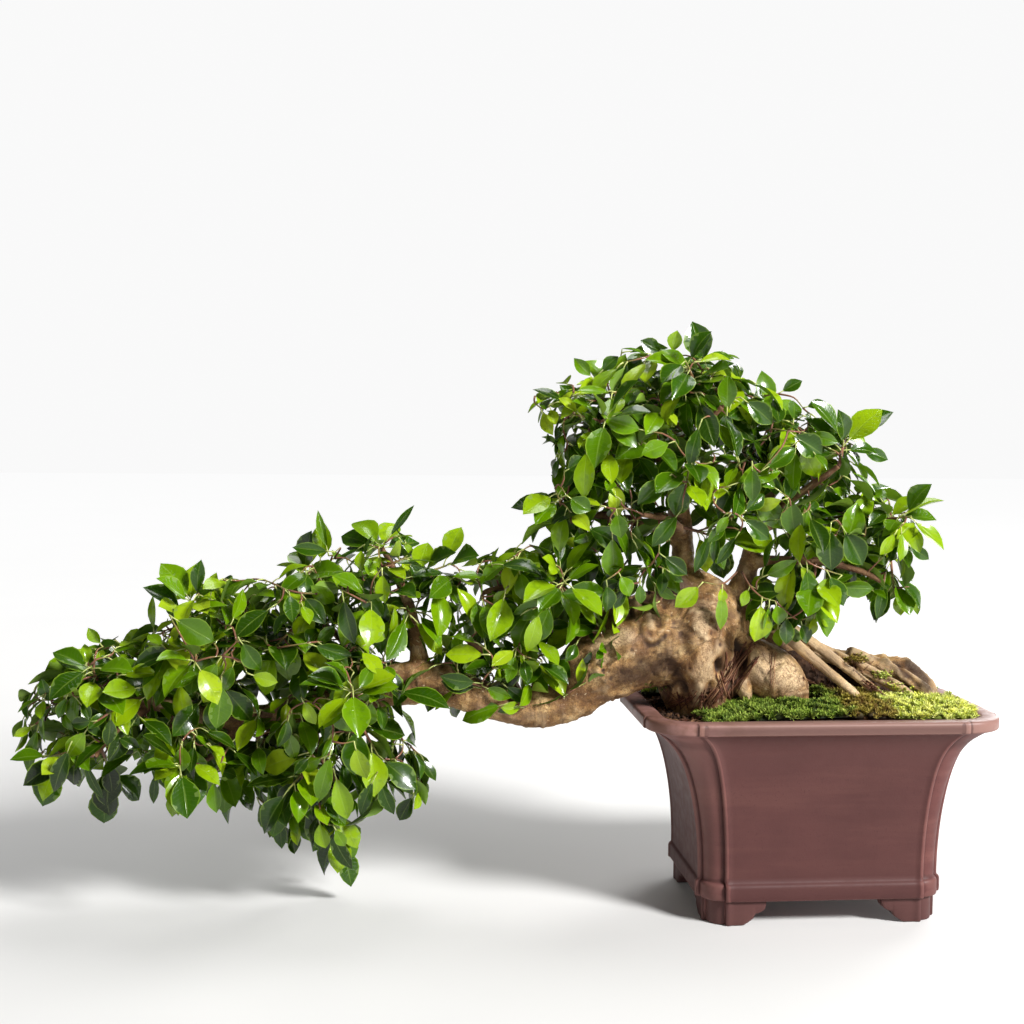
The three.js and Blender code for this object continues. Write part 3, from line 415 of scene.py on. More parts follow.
def spine(points, steps):
    """Smooth curve through points, with a few steps per span; every column is interpolated."""
    points = np.asarray(points, float)
    last = len(points) - 1
    curve = []
    for i in range(last):
        before, here, there, after = points[max(i - 1, 0)], points[i], points[i + 1], points[min(i + 2, last)]
        for t in np.arange(steps) / steps:
            linear = (there - before) * t
            square = (2 * before - 5 * here + 4 * there - after) * t ** 2
            cubic = (3 * here - before - 3 * there + after) * t ** 3
            curve.append(0.5 * (2 * here + linear + square + cubic))
    curve.append(points[last])
    return np.array(curve)


def frames_along(path):
    """Directions along a path, with two across it that never twist."""
    ahead = unit(np.gradient(path, axis=0))
    side = np.array([0, 0, 1.0]) if abs(ahead[0][2]) < 0.9 else np.array([1.0, 0, 0])
    sides = []
    for direction in ahead:
        side = unit(side - direction * side.dot(direction))
        sides.append(side)
    sides = np.array(sides)
    return ahead, sides, np.cross(ahead, sides)


def tube(path, radii, sides, flute=0.0):
    """Points and polygons of a closed tube; its flutes turn slowly along it."""
    path = np.asarray(path, float)
    _, right, up = frames_along(path)
    angle = 2 * np.pi * np.arange(sides) / sides
    lobe = 1 + flute * np.sin(FLUTES * angle[None] + FLUTE_TURN * np.arange(len(path))[:, None])
    radius = np.asarray(radii, float)[:, None] * lobe
    offset = radius[..., None] * (np.cos(angle)[None, :, None] * right[:, None]
                                  + np.sin(angle)[None, :, None] * up[:, None])
    return skin(path[:, None] + offset)


def skin(rings):
    """Quads over rings of equal point count, with a fan over each end."""
    count, sides = rings.shape[:2]
    row = np.arange(count - 1)[:, None] * sides
    here, after = np.arange(sides), (np.arange(sides) + 1) % sides
    quads = np.stack([row + here, row + after, row + after + sides, row + here + sides], -1).reshape(-1, 4)
    ends = count * sides
    start = np.stack([np.full(sides, ends), after, here], -1)
    final = np.stack([np.full(sides, ends + 1), (count - 1) * sides + here, (count - 1) * sides + after], -1)
    points = np.concatenate([rings.reshape(-1, 3), rings[0].mean(0)[None], rings[-1].mean(0)[None]])
    return points, [quads, np.concatenate([start, final])]


def turbulence(points, size, octaves, seed):
    """Smooth noise of about -1 to 1 at each point, with lumps of the given size in mm."""
    shift = Vector((seed, 1.7 * seed, -0.6 * seed))
    value = [noise.fractal(Vector(p) / size + shift, 0.9, 2.0, octaves) for p in points]
    return np.array(value)


def read_rows(items, key, width, kind=np.float32):
    """What a mesh's items hold under a key, as one row per item."""
    values = np.empty(len(items) * width, kind)
    items.foreach_get(key, values)
    return values.reshape(-1, width)


def mesh_points(mesh):
    return pot_frame(read_rows(mesh.vertices, "co", 3))


def mesh_normals(mesh):
    return read_rows(mesh.vertices, "normal", 3).astype(float)


def move_points(mesh, points):
    mesh.vertices.foreach_set("co", place(points).astype(np.float32).ravel())
    mesh.update()


def edge_pairs(mesh):
    return read_rows(mesh.edges, "vertices", 2, np.int32)


def relax(points, pairs, rounds):
    """Moves every point towards the middle of its neighbours, a few times over."""
    count = np.maximum(np.bincount(pairs.ravel(), minlength=len(points)), 1)[:, None]
    for _ in range(rounds):
        total = np.zeros_like(points)
        for column in range(3):
            total[:, column] = (np.bincount(pairs[:, 0], points[pairs[:, 1], column], len(points))
                                + np.bincount(pairs[:, 1], points[pairs[:, 0], column], len(points)))
        points = 0.5 * points + 0.5 * total / count
    return points


def hollowness(mesh, rounds):
    """How far each point lies below its smoothed surroundings, in mm; ridges are negative."""
    points = mesh_points(mesh)
    smooth = relax(points, edge_pairs(mesh), rounds)
    return np.einsum("ij,ij->i", smooth - points, mesh_normals(mesh))


def apply_modifiers(piece):
    """Replaces a piece's mesh by what its modifiers make of it."""
    graph = bpy.context.evaluated_depsgraph_get()
    mesh = bpy.data.meshes.new_from_object(piece.evaluated_get(graph))
    piece.modifiers.clear()
    piece.data = mesh


def remesh(piece, voxel):
    """Fuses what overlaps in a piece into one even skin of about voxel mm."""
    modifier = piece.modifiers.new("fuse", "REMESH")
    modifier.mode = "VOXEL"
    modifier.voxel_size = voxel * MM
    modifier.use_smooth_shade = True
    apply_modifiers(piece)
    piece.data.shade_smooth()


def node_mesh(node):
    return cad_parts[node].data


def copy_node(name, node):
    """A free copy of a CAD node's mesh to rework."""
    return add_object(name, node_mesh(node).copy())


def mesh_tree(*meshes):
    """BVH tree of meshes, in mm."""
    points, polygons = [], []
    for mesh in meshes:
        base = len(points)
        points += [Vector(p) for p in mesh_points(mesh)]
        polygons += [[base + v for v in polygon.vertices] for polygon in mesh.polygons]
    return BVHTree.FromPolygons(points, polygons)


def below(tree, x, y):
    """The point of a BVH tree under a place of the plan, or None."""
    return tree.ray_cast(Vector((x, y, ABOVE_SOIL)), Vector((0, 0, -1)))[0]


def point_tree(points):
    """KD tree of points."""
    tree = KDTree(len(points))
    for i, point in enumerate(points):
        tree.insert(point, i)
    tree.balance()
    return tree


def put(piece, slot, *nodes):
    """Makes a finished piece part of the plant, in place of the CAD nodes named."""
    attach(piece, "root")
    if nodes:
        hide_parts(*nodes)
    return piece


# Materials

def srgb(red, green, blue):
    """Colour from 0 to 255 as seen on a screen, as linear light with full alpha."""
    channels = [c / 255 for c in (red, green, blue)]
    return tuple(c / 12.92 if c <= 0.04045 else ((c + 0.055) / 1.055) ** 2.4 for c in channels) + (1.0,)


class Surface:
    """Short way to write a material's nodes; sizes are in mm, and colours go from 0 to 255."""

    def __init__(self, name):
        self.material = bpy.data.materials.new(name)
        self.material.use_nodes = True
        self.tree = self.material.node_tree
        self.shader = self.tree.nodes["Principled BSDF"]
        self.output = self.tree.nodes["Material Output"]
        self.place = self.tree.nodes.new("ShaderNodeTexCoord").outputs["Object"]

    def node(self, kind, inputs, output, **settings):
        item = self.tree.nodes.new("ShaderNode" + kind)
        for key, value in settings.items():
            setattr(item, key, value)
        for key, value in inputs.items():
            if isinstance(value, bpy.types.NodeSocket):
                self.tree.links.new(value, item.inputs[key])
            elif value is not None:
                item.inputs[key].default_value = value
        return item.outputs[output]

    def value(self, name):
        return self.node("Attribute", {}, "Fac", attribute_name=name)

    def vector(self, name):
        return self.node("Attribute", {}, "Vector", attribute_name=name)

    def part(self, vector, axis):
        return self.node("SeparateXYZ", {"Vector": vector}, axis)

    def zone(self, axis, start, full):
        """0 at one place along an axis of the pot's frame and 1 at another, in mm."""
        low, high = (ORIGIN["XYZ".index(axis)] + MM * at for at in (start, full))
        return self.between(low, high, self.part(self.place, axis))

    def stretch(self, scale):
        """The place, scaled along each axis."""
        return self.node("Mapping", {"Vector": self.place, "Scale": scale}, "Vector")

    def noise(self, size, detail, roughness=0.5, vector=None):
        inputs = {"Scale": 1000 / size, "Detail": detail, "Roughness": roughness}
        return self.node("TexNoise", {"Vector": vector or self.place, **inputs}, "Fac")

    def cells(self, size):
        return self.node("TexVoronoi", {"Vector": self.place, "Scale": 1000 / size}, "Distance")

    def math(self, operation, a, b=0.0, c=0.0):
        return self.node("Math", {0: a, 1: b, 2: c}, 0, operation=operation)

    def between(self, low, high, value):
        """0 at low, 1 at high, smooth in between; low may be the larger."""
        inputs = {"Value": value, "From Min": low, "From Max": high}
        return self.node("MapRange", inputs, "Result", interpolation_type="SMOOTHSTEP")

    def mix(self, amount, first, second):
        return self.node("Mix", {0: amount, 6: first, 7: second}, 2, data_type="RGBA")

    def coats(self, colour, *coats):
        """Lays coats over a colour: where each one lies, how much it covers, and its own colour."""
        for where, share, shade in coats:
            colour = self.mix(self.math("MULTIPLY", where, share), colour, srgb(*shade))
        return colour

    def ramp(self, value, *stops):
        item = self.tree.nodes.new("ShaderNodeValToRGB")
        self.tree.links.new(value, item.inputs["Fac"])
        elements = item.color_ramp.elements
        while len(elements) < len(stops):
            elements.new(0.5)
        for element, (position, shade) in zip(elements, stops):
            element.position = position
            element.color = srgb(*shade)
        return item.outputs["Color"]

    def bump(self, height, distance, strength, normal=None):
        inputs = {"Height": height, "Distance": distance * MM, "Strength": strength, "Normal": normal}
        return self.node("Bump", inputs, "Normal")

    def finish(self, colour, roughness, normal=None, **fixed):
        """Connects the shader; fixed values are set on its own sockets."""
        for key, value in (("Base Color", colour), ("Roughness", roughness), ("Normal", normal)):
            if isinstance(value, bpy.types.NodeSocket):
                self.tree.links.new(value, self.shader.inputs[key])
            elif value is not None:
                self.shader.inputs[key].default_value = value
        for key, value in fixed.items():
            self.shader.inputs[key.replace("_", " ")].default_value = value
        return self.material


# Zones of the clay, in mm, each from where it begins to where it is full: heights, then places along x
LIP_ZONE, UNDER_LIP_LIGHT_ZONE = (187.5, 190.5), (135, 185)
LOW_ZONE, LIT_FOOT_ZONE = (60, 40), (27, 20)
LIT_LOBE_ZONE, SOILED_SHADED_LIP_ZONE = (-90, -130), (-40, -160)


def clay_material():
    """Unglazed purple-brown stoneware: faint throwing marks, fine grit and a lighter, smoother lip.

    Painted light lightens the wall under the lip, the left lobe and the foot, and painted shade darkens
    the hollows; the left of the lip is soiled and painted with the tree's shade.
    """
    s = Surface("stoneware")
    wiped = s.noise(22, 4, 0.6, s.stretch((0.12, 0.12, 1.0)))
    grit = s.noise(1.6, 2)
    lip = s.zone("Z", *LIP_ZONE)
    soiled_and_shaded = s.math("MULTIPLY", s.math("MULTIPLY", s.zone("X", *SOILED_SHADED_LIP_ZONE), lip),
                    s.between(0.38, 0.58, s.noise(16, 4)))
    body = s.ramp(s.noise(60, 4), (0.3, (80, 44, 42)), (0.7, (98, 57, 54)))
    body = s.coats(
        body,
        (s.between(0.42, 0.7, wiped), 0.8, (108, 67, 61)),
        (s.between(0.6, 0.75, grit), 1.0, (74, 41, 39)),
        # Painted light: the wall under the lip is lighter, against the shadow that the lip casts on it
        (s.zone("Z", *UNDER_LIP_LIGHT_ZONE), 0.45, (122, 80, 75)),
        (s.zone("Z", *LOW_ZONE), 0.35, (76, 42, 41)),
        (lip, 0.75, (138, 108, 98)),
        # Painted light: the left lobe is lighter, as if lit
        (s.zone("X", *LIT_LOBE_ZONE), 0.5, (146, 106, 100)),
        # Soil on the left of the lip, with the tree's shade painted over it
        (soiled_and_shaded, 0.6, (92, 62, 46)),
        (s.between(-0.12, -0.5, s.value("hollow")), 0.2, (140, 98, 90)),
        # Painted light: the foot is lighter
        (s.zone("Z", *LIT_FOOT_ZONE), 0.25, (146, 106, 100)),
        # Painted shade in the hollows
        (s.between(0.1, 0.6, s.value("hollow")), 0.6, (66, 38, 36)),
    )
    rough = s.math("MULTIPLY_ADD", s.between(0.2, 0.8, s.noise(9, 3)), 0.14,
                   s.math("MULTIPLY_ADD", lip, -0.12, 0.5))
    normal = s.bump(grit, 0.12, 0.5, s.bump(wiped, 0.6, 0.35))
    return s.finish(body, rough, normal, Specular_IOR_Level=0.26)


def bark_material():
    """Banyan bark: tan and cream patches, long grain, dark pits, olive patches on top and reddish crevices.

    Painted shade darkens the crevices, the wide hollows and the dark marks; a painted highlight makes the
    ridges cream.
    """
    s = Surface("banyan_bark")
    grain, dark, hollow = s.vector("grain"), s.value("dark"), s.value("hollow_wide")
    wrinkles = s.noise(1.8, 4, 0.6, grain)
    streaks = s.noise(8, 6, 0.65, grain)
    fine = s.noise(2.6, 4, 0.65, grain)
    grey = s.noise(26, 4, 0.6, s.stretch((1.0, 1.0, 1.3)))
    olive = s.math("MULTIPLY", s.between(0.2, 0.9, s.value("upward")), s.between(0.42, 0.6, s.noise(20, 3)))
    speck = s.between(0.24, 0.12, s.cells(1.9))
    specked = s.math("MULTIPLY", s.between(0.52, 0.6, s.noise(12, 3)), 0.8)
    colour = s.ramp(s.noise(30, 6, 0.66), (0.34, (82, 54, 29)), (0.46, (124, 88, 50)), (0.57, (170, 132, 82)),
                    (0.7, (216, 184, 130)))
    colour = s.coats(
        colour,
        (s.between(0.0, -0.7, dark), 0.7, (220, 190, 148)),
        (s.between(0.5, 0.64, s.noise(4.2, 5, 0.72)), 0.55, (110, 76, 46)),
        (s.between(0.51, 0.62, s.noise(1.3, 3, 0.7)), 0.55, (84, 56, 33)),
        (s.between(0.47, 0.38, wrinkles), 0.4, (78, 51, 31)),
        (s.between(0.5, 0.72, streaks), 0.8, (96, 68, 44)),
        (s.between(0.42, 0.26, fine), 0.7, (222, 200, 160)),
        (s.between(0.52, 0.68, grey), 0.3, (132, 106, 88)),
        (olive, 0.55, (112, 94, 42)),
        (speck, specked, (40, 27, 18)),
        # Painted shade over the reddish brown of the fine crevices
        (s.between(0.2, 0.7, s.value("hollow_fine")), 0.75, (64, 40, 25)),
        # Painted highlight on the ridges
        (s.between(-0.7, -3.2, hollow), 0.35, (222, 198, 158)),
        # Painted shade in the wide hollows and between the stems
        (s.between(0.8, 4.0, hollow), 0.85, (52, 33, 21)),
        # Painted shade of the dark marks, with some of the bark's own dark
        (s.between(0.1, 1.1, dark), 0.85, (50, 32, 20)),
        (s.between(8.0, 3.0, s.value("girth")), 0.6, (104, 74, 54)),
    )
    height = s.math("ADD", s.math("MULTIPLY", streaks, 0.6), s.math("MULTIPLY", fine, 0.5))
    height = s.math("ADD", height, s.math("MULTIPLY", wrinkles, 0.3))
    pitted = s.math("SUBTRACT", 1.0, s.math("MULTIPLY", speck, specked))
    normal = s.bump(height, 2.1, 0.85, s.bump(pitted, 1.0, 0.7))
    return s.finish(colour, 0.68, normal, Specular_IOR_Level=0.3)


def leaf_material():
    """Leaves, their stalks and their twigs, told apart by kind: 0, 1 and 2.

    Blades have a tint each, a paler midrib and side veins, a thin pale margin and a dull pale underside.
    """
    s = Surface("leaf")
    blade, tint, kind = s.vector("blade"), s.value("tint"), s.value("kind")
    across, along = s.math("ABSOLUTE", s.part(blade, "X")), s.part(blade, "Y")
    under = s.between(0.0, 0.3, s.value("under"))
    mottle = s.noise(7, 3)
    slant = s.math("SUBTRACT", s.math("MULTIPLY", along, 10.0), s.math("MULTIPLY", across, 1.5))
    wave = s.math("ABSOLUTE", s.math("SUBTRACT", s.math("FRACT", slant), 0.5))
    veins = s.math("MULTIPLY", s.between(0.07, 0.0, wave), s.between(1.0, 0.6, across))
    rib = s.between(0.09, 0.03, across)
    colour = s.ramp(tint, (0.0, (22, 38, 0)), (0.36, (50, 88, 0)), (0.62, (102, 144, 0)),
                    (0.82, (160, 190, 14)), (1.0, (196, 208, 62)))
    colour = s.coats(colour, (s.between(0.5, 0.75, mottle), 0.35, (24, 60, 10)))
    pale = s.mix(0.55, colour, srgb(164, 192, 78))
    colour = s.mix(s.math("MULTIPLY", veins, 0.22), colour, pale)
    colour = s.mix(s.math("MULTIPLY", rib, 0.42), colour, pale)
    margin = s.between(0.86, 1.0, across)
    colour = s.coats(colour, (margin, 0.7, (150, 182, 52)), (under, 0.5, (130, 156, 70)))
    stalk = s.mix(tint, srgb(150, 164, 84), srgb(196, 200, 120))
    twig = s.ramp(tint, (0.0, (92, 62, 46)), (0.45, (128, 84, 58)), (0.75, (120, 128, 56)),
                  (1.0, (150, 168, 78)))
    colour = s.mix(s.between(0.4, 0.6, kind), colour, stalk)
    colour = s.mix(s.between(1.4, 1.6, kind), colour, twig)
    relief = s.math("SUBTRACT", 1.0, s.math("MAXIMUM", rib, s.math("MULTIPLY", veins, 0.6)))
    normal = s.bump(s.math("ADD", relief, s.math("MULTIPLY", mottle, 0.3)), 0.25, 0.6)
    rough = s.math("MULTIPLY_ADD", s.math("MAXIMUM", under, kind), 0.3,
                   s.math("MULTIPLY_ADD", mottle, 0.2, 0.12))
    s.finish(colour, rough, normal, Specular_IOR_Level=0.42, Coat_Weight=0.32, Coat_Roughness=0.07)
    glow = s.node("BsdfTranslucent", {"Color": s.mix(0.6, colour, srgb(150, 196, 20))}, 0)
    share = s.math("MULTIPLY", s.between(0.5, 0.4, kind), 0.3)
    both = s.node("MixShader", {0: share, 1: s.shader.outputs[0], 2: glow}, 0)
    s.tree.links.new(both, s.output.inputs["Surface"])
    return s.material


def soil_material():
    s = Surface("soil")
    tone = s.noise(7, 4)
    colour = s.ramp(tone, (0.3, (30, 20, 15)), (0.55, (58, 40, 28)), (0.75, (92, 64, 42)))
    return s.finish(colour, 0.9, s.bump(s.math("ADD", s.cells(4.5), tone), 2.0, 0.8), Specular_IOR_Level=0.2)


def crumb_material():
    """Crumbs of baked clay, bark and humus, each with its own tone."""
    s = Surface("soil_crumbs")
    grain = s.noise(1.2, 3)
    colour = s.ramp(s.value("tone"), (0.0, (28, 19, 14)), (0.45, (62, 42, 29)), (0.8, (104, 72, 46)),
                    (1.0, (140, 104, 70)))
    colour = s.coats(colour, (grain, 0.5, (24, 16, 12)))
    return s.finish(colour, 0.92, s.bump(grain, 0.4, 0.8), Specular_IOR_Level=0.2)


def fibre_material():
    s = Surface("root_fibre")
    colour = s.ramp(s.value("tone"), (0.0, (58, 32, 22)), (0.5, (104, 62, 42)), (1.0, (150, 112, 80)))
    return s.finish(colour, 0.7, s.bump(s.noise(2, 2), 0.2, 0.5), Specular_IOR_Level=0.3)


# Moss of each zone from left to right: colour at a shoot's foot, two tones of its middle, and its tip
# The foot's dark is partly painted shade, and the tip's pale partly painted light
MOSS_COLOURS = (
    ((10, 16, 4), (46, 82, 20), (108, 140, 32), (190, 208, 90)),
    ((24, 15, 7), (112, 78, 34), (146, 132, 40), (204, 188, 92)),
    ((72, 86, 12), (186, 204, 46), (236, 238, 92), (252, 252, 176)),
)
# How far a border between two zones wanders, and half of how wide it is, in metres
MOSS_WANDER, MOSS_BLEND = 0.05, 0.006


def moss_material(name, olive_from, bright_from):
    """Moss shoots, dark at their feet and bright at their tips, partly as painted shade and painted light:
    green, then olive, then bright yellow.

    The two numbers are the x in mm where the olive and the yellow moss begin.
    """
    s = Surface(name)
    x = s.math("MULTIPLY_ADD", s.noise(24, 4, 0.6), MOSS_WANDER, s.part(s.place, "X"))
    patch = s.between(0.42, 0.6, s.noise(11, 3))
    tone = s.math("MULTIPLY", s.value("tone"), 0.8)
    zones = []
    for deep, low, high, tips in MOSS_COLOURS:
        body = s.mix(tone, s.mix(patch, srgb(*low), srgb(*high)), srgb(*tips))
        zones.append(s.mix(s.between(0.05, 0.8, s.value("rise")), srgb(*deep), body))
    colour = zones[0]
    for begin, zone in zip((olive_from, bright_from), zones[1:]):
        border = ORIGIN[0] + begin * MM + MOSS_WANDER / 2
        colour = s.mix(s.between(border - MOSS_BLEND, border + MOSS_BLEND, x), colour, zone)
    return s.finish(colour, 0.75, s.bump(s.noise(1.5, 2), 0.3, 0.5), Specular_IOR_Level=0.25)


def screen_material():
    s = Surface("drain_screen")
    weave = s.noise(1.4, 2)
    colour = s.ramp(weave, (0.3, (26, 29, 27)), (0.7, (52, 56, 53)))
    return s.finish(colour, 0.6, s.bump(weave, 0.1, 0.6), Specular_IOR_Level=0.4)


def floor_material():
    """Near-white floor that fades into the backdrop: its glow takes over where the lights end."""
    s = Surface("studio_floor")
    colour = s.ramp(s.noise(400, 2), (0.3, (206, 205, 203)), (0.7, (211, 210, 208)))
    apart = s.node("VectorMath", {0: s.place}, "Value", operation="LENGTH")
    square = s.math("POWER", s.math("MULTIPLY", apart, 1 / FLOOR_GLOW_REACH), 2.0)
    share = s.math("DIVIDE", square, s.math("ADD", square, 1.0))
    s.tree.links.new(s.math("MULTIPLY", share, FLOOR_GLOW), s.shader.inputs["Emission Strength"])
    return s.finish(colour, 0.85, None, Specular_IOR_Level=0.1, Emission_Color=WHITE)


# Pot

def pot_outline(level, step, z, bead):
    """Plan of the pot at one height: flat panels edged by a bead, and round lobes set back at the corners."""
    length, depth, notch = level
    points = []
    for sx, sy, start in ((1, -1, -90), (1, 1, 0), (-1, 1, 90), (-1, -1, 180)):
        front = [(sx * (length - notch + u), sy * (depth + v * bead), z) for u, v in BEAD_PROFILE]
        side = [(sx * (length + v * bead), sy * (depth - notch + u), z) for u, v in BEAD_PROFILE]
        lobe = []
        for k in range(LOBE_STEPS + 1):
            angle = math.radians(start + 90 * k / LOBE_STEPS)
            x, y = (notch - step) * math.cos(angle), (notch - step) * math.sin(angle)
            lobe.append((sx * (length - notch) + x, sy * (depth - notch) + y, z))
        first, last = (front, side) if start in (-90, 90) else (side, front)
        points += first + lobe + last[::-1]
    return np.array(points, float)


def inset(level, by):
    return tuple(size - by for size in level)


def blend_levels(low, high, t):
    return tuple(a + (b - a) * t for a, b in zip(low, high))


def wall_at(z):
    """Plan of the wall at a height: it flares slowly at first, then fast under the lip."""
    s = min(max((z - BAND_TOP) / (LIP_BOTTOM - BAND_TOP), 0), 1)
    return blend_levels(WALL_FOOT, RIM, 0.5 * s ** 2.2 + 0.4 * s ** 10)


def cavity_at(z):
    lip = float(smooth_step(CAVITY_NARROWS, POT_TOP, z))
    inner = inset(wall_at(min(z, LIP_BOTTOM)), WALL)
    return blend_levels(inner, inset(RIM, LIP_WIDTH), lip)


def pot_rings():
    """Rings from the underside up the outside, over the lip and down the inside."""
    rings = [pot_outline(inset(BAND, back), NOTCH_STEP, z, BAND_BEAD) for back, z in BAND_PROFILE]
    for z in np.linspace(BAND_TOP + WALL_GAP, LIP_BOTTOM - WALL_GAP, WALL_RINGS):
        fade = float(smooth_step(LIP_BOTTOM - BEAD_FADE, LIP_BOTTOM, z))
        step = NOTCH_STEP + (LIP_STEP - NOTCH_STEP) * fade
        rings.append(pot_outline(wall_at(z), step, z, WALL_BEAD - fade))
    rings.append(pot_outline(wall_at(LIP_BOTTOM), LIP_STEP, LIP_BOTTOM - 0.4, LIP_BEAD))
    for back, z in LIP_PROFILE:
        rings.append(pot_outline(inset(RIM, back), LIP_STEP, z, LIP_BEAD if back < 4 else 0.0))
    rings += [pot_outline(cavity_at(z), CAVITY_STEP, z, 0.0) for z in CAVITY_HEIGHTS]
    return np.array(rings)


def foot_rings():
    """One corner foot: sections from the end of its front leg round the corner to the end of its side leg."""
    spans, heights = np.array(FOOT_PROFILE).T
    length, depth, notch = FEET
    plan = pot_outline(FEET, NOTCH_STEP, 0, FOOT_BEAD)
    corner = plan[:len(plan) // 4]
    legs = np.linspace(spans[-1], notch + LEG_START, LEG_STEPS)
    front = np.array([(length - span, -depth, 0) for span in legs])
    side = np.array([(length, -(depth - span), 0) for span in legs[::-1]])
    stations = np.concatenate([front, corner, side])
    bend = []
    for x, y, _ in corner:
        near_front = length - x if y < -depth + 2 else 0
        near_side = depth + y if x > length - 2 else 0
        bend.append(max(near_front, near_side) if min(near_front, near_side) == 0 else 0)
    low = np.interp(np.concatenate([legs, bend, legs[::-1]]), spans, heights)
    inner = np.column_stack([np.minimum(stations[:, 0], length - FOOT_LEG),
                             np.maximum(stations[:, 1], -depth + FOOT_LEG)])
    rings = []
    for (x, y, _), (u, v), z in zip(stations, inner, low):
        out = unit(np.array([x - u, y - v]))
        edge = min(FOOT_EDGE, (FOOT_TOP - z) * 0.3)
        rings.append([
            (x, y, FOOT_TOP), (x, y, z + edge), (x - out[0] * 0.5, y - out[1] * 0.5, z + 0.3 * edge),
            (x - out[0] * 1.5, y - out[1] * 1.5, z), (u + out[0] * 1.5, v + out[1] * 1.5, z),
            (u, v, z + edge), (u, v, FOOT_TOP),
        ])
    return np.array(rings)


def pot_piece():
    """Outer and inner body, four bracket feet, and drain holes cut through the floor."""
    body = Heap()
    body.add(*skin(pot_rings()))
    for sx in (1, -1):
        for sy in (1, -1):
            rings = foot_rings() * np.array([sx, sy, 1])
            body.add(*skin(rings if sx * sy < 0 else rings[:, ::-1]))
    piece = body.build("stoneware_pot", clay_material())
    cutters = Heap()
    for side in (-1, 1):
        path = [(side * DRAIN_HOLE_X, 0, BAND_BOTTOM - 9), (side * DRAIN_HOLE_X, 0, FLOOR_TOP + 9)]
        cutters.add(*tube(path, (DRAIN_HOLE_RADIUS, DRAIN_HOLE_RADIUS), 40))
    cutter = cutters.build("drain_cutter", piece.data.materials[0])
    modifier = piece.modifiers.new("drain", "BOOLEAN")
    modifier.operation, modifier.object, modifier.solver = "DIFFERENCE", cutter, "EXACT"
    apply_modifiers(piece)
    bpy.data.objects.remove(cutter)
    piece.data.set_sharp_from_angle(angle=math.radians(50))
    set_values(piece, "hollow", hollowness(piece.data, 6))
    return put(piece, "pot_clay", "pot")


# Wood

def grain_of(points, spines):
    """Each point squeezed along its stem, for grain that runs lengthwise, and the stem's radius there."""
    samples = np.concatenate([path[:, :3] for path in spines])
    directions = np.concatenate([frames_along(path[:, :3])[0] for path in spines])
    girth = np.concatenate([path[:, 3] for path in spines])
    tree = point_tree(samples)
    nearest = np.array([tree.find(p)[1] for p in points])
    ahead = directions[nearest]
    along = np.einsum("ij,ij->i", points, ahead)[:, None] * ahead
    return points - 0.8 * along, girth[nearest]


def carve(mesh):
    """Height and darkness that the marks and pits give to each point of the wood."""
    tree = mesh_tree(mesh)
    points = mesh_points(mesh)
    lift, dark = np.zeros(len(points)), np.zeros(len(points))
    pits = tuple((-PIT_DEPTH, PIT_RADIUS, PIT_DARKNESS, (pit,)) for pit in PITS)
    for height, radius, darkness, pixels in MARKS + pits:
        spots = [seen_at(tree, pixel) for pixel in spine(pixels, 6)]
        spots = np.array([spot for spot in spots if spot is not None])
        if not len(spots):
            continue
        near = np.where(np.linalg.norm(points - spots.mean(0), axis=1) < MARK_REACH)[0]
        apart = np.min(np.linalg.norm(points[near][:, None] - spots[None], axis=2), axis=1)
        weight = np.exp(-(apart / radius) ** 2)
        lift[near] += height * weight
        dark[near] += darkness * weight
    return lift, dark


def thick_wood(material):
    """Trunk, limb, leaders and roots fused into one skin, then weathered."""
    heap = Heap()
    spines = []
    for stem, sides, flute in STEMS:
        path = spine(stem, 8)
        spines.append(path)
        heap.add(*tube(path[:, :3], path[:, 3], sides, flute))
    for branch in BRANCHES:
        path = spine(branch, 6)
        path = path[path[:, 3] > THICK_BRANCH]
        if len(path) > 2:
            spines.append(path)
            heap.add(*tube(path[:, :3], path[:, 3], 12))
    piece = heap.build("trunk_and_limb", material)
    remesh(piece, WOOD_VOXEL)
    mesh = piece.data
    points = relax(mesh_points(mesh), edge_pairs(mesh), 3)
    move_points(mesh, points)
    grain, girth = grain_of(points, spines)
    size = np.clip(girth / 30, 0.15, 1.0)
    knotty = smooth_step(*KNOTTY_X, points[:, 0]) * smooth_step(*KNOTTY_Y, points[:, 1]) * KNOT_HEIGHT
    lift = size * (SWELL_HEIGHT * turbulence(points, *SWELLS) + FURROW_HEIGHT * turbulence(grain, *FURROWS))
    lift += knotty * turbulence(points, *KNOTS)
    lift += np.clip(size * 1.5, 0.25, 0.7) * turbulence(grain, *WRINKLES)
    lift += size * RIDGE_HEIGHT * np.abs(turbulence(grain, *RIDGES))
    carved, dark = carve(mesh)
    pits = np.clip(turbulence(points, 5.0, 2, 4.0) - 0.6, 0, 1) * np.clip(girth / 10, 0, 1)
    move_points(mesh, points + mesh_normals(mesh) * (lift + carved - 3.0 * pits)[:, None])
    move_points(mesh, relax(mesh_points(mesh), edge_pairs(mesh), 1))
    set_values(piece, "grain", grain * MM)
    is_root = (points[:, 0] > ROOTS_FROM) & (points[:, 2] < ROOTS_UNDER)
    set_values(piece, "girth", np.where(is_root, np.maximum(girth, ROOT_BARK), girth))
    set_values(piece, "dark", dark + 0.6 * pits)
    set_values(piece, "upward", mesh_normals(mesh)[:, 2])
    set_values(piece, "hollow_fine", hollowness(mesh, 8))
    set_values(piece, "hollow_wide", hollowness(mesh, 60))
    return put(piece, "bark", "wood")


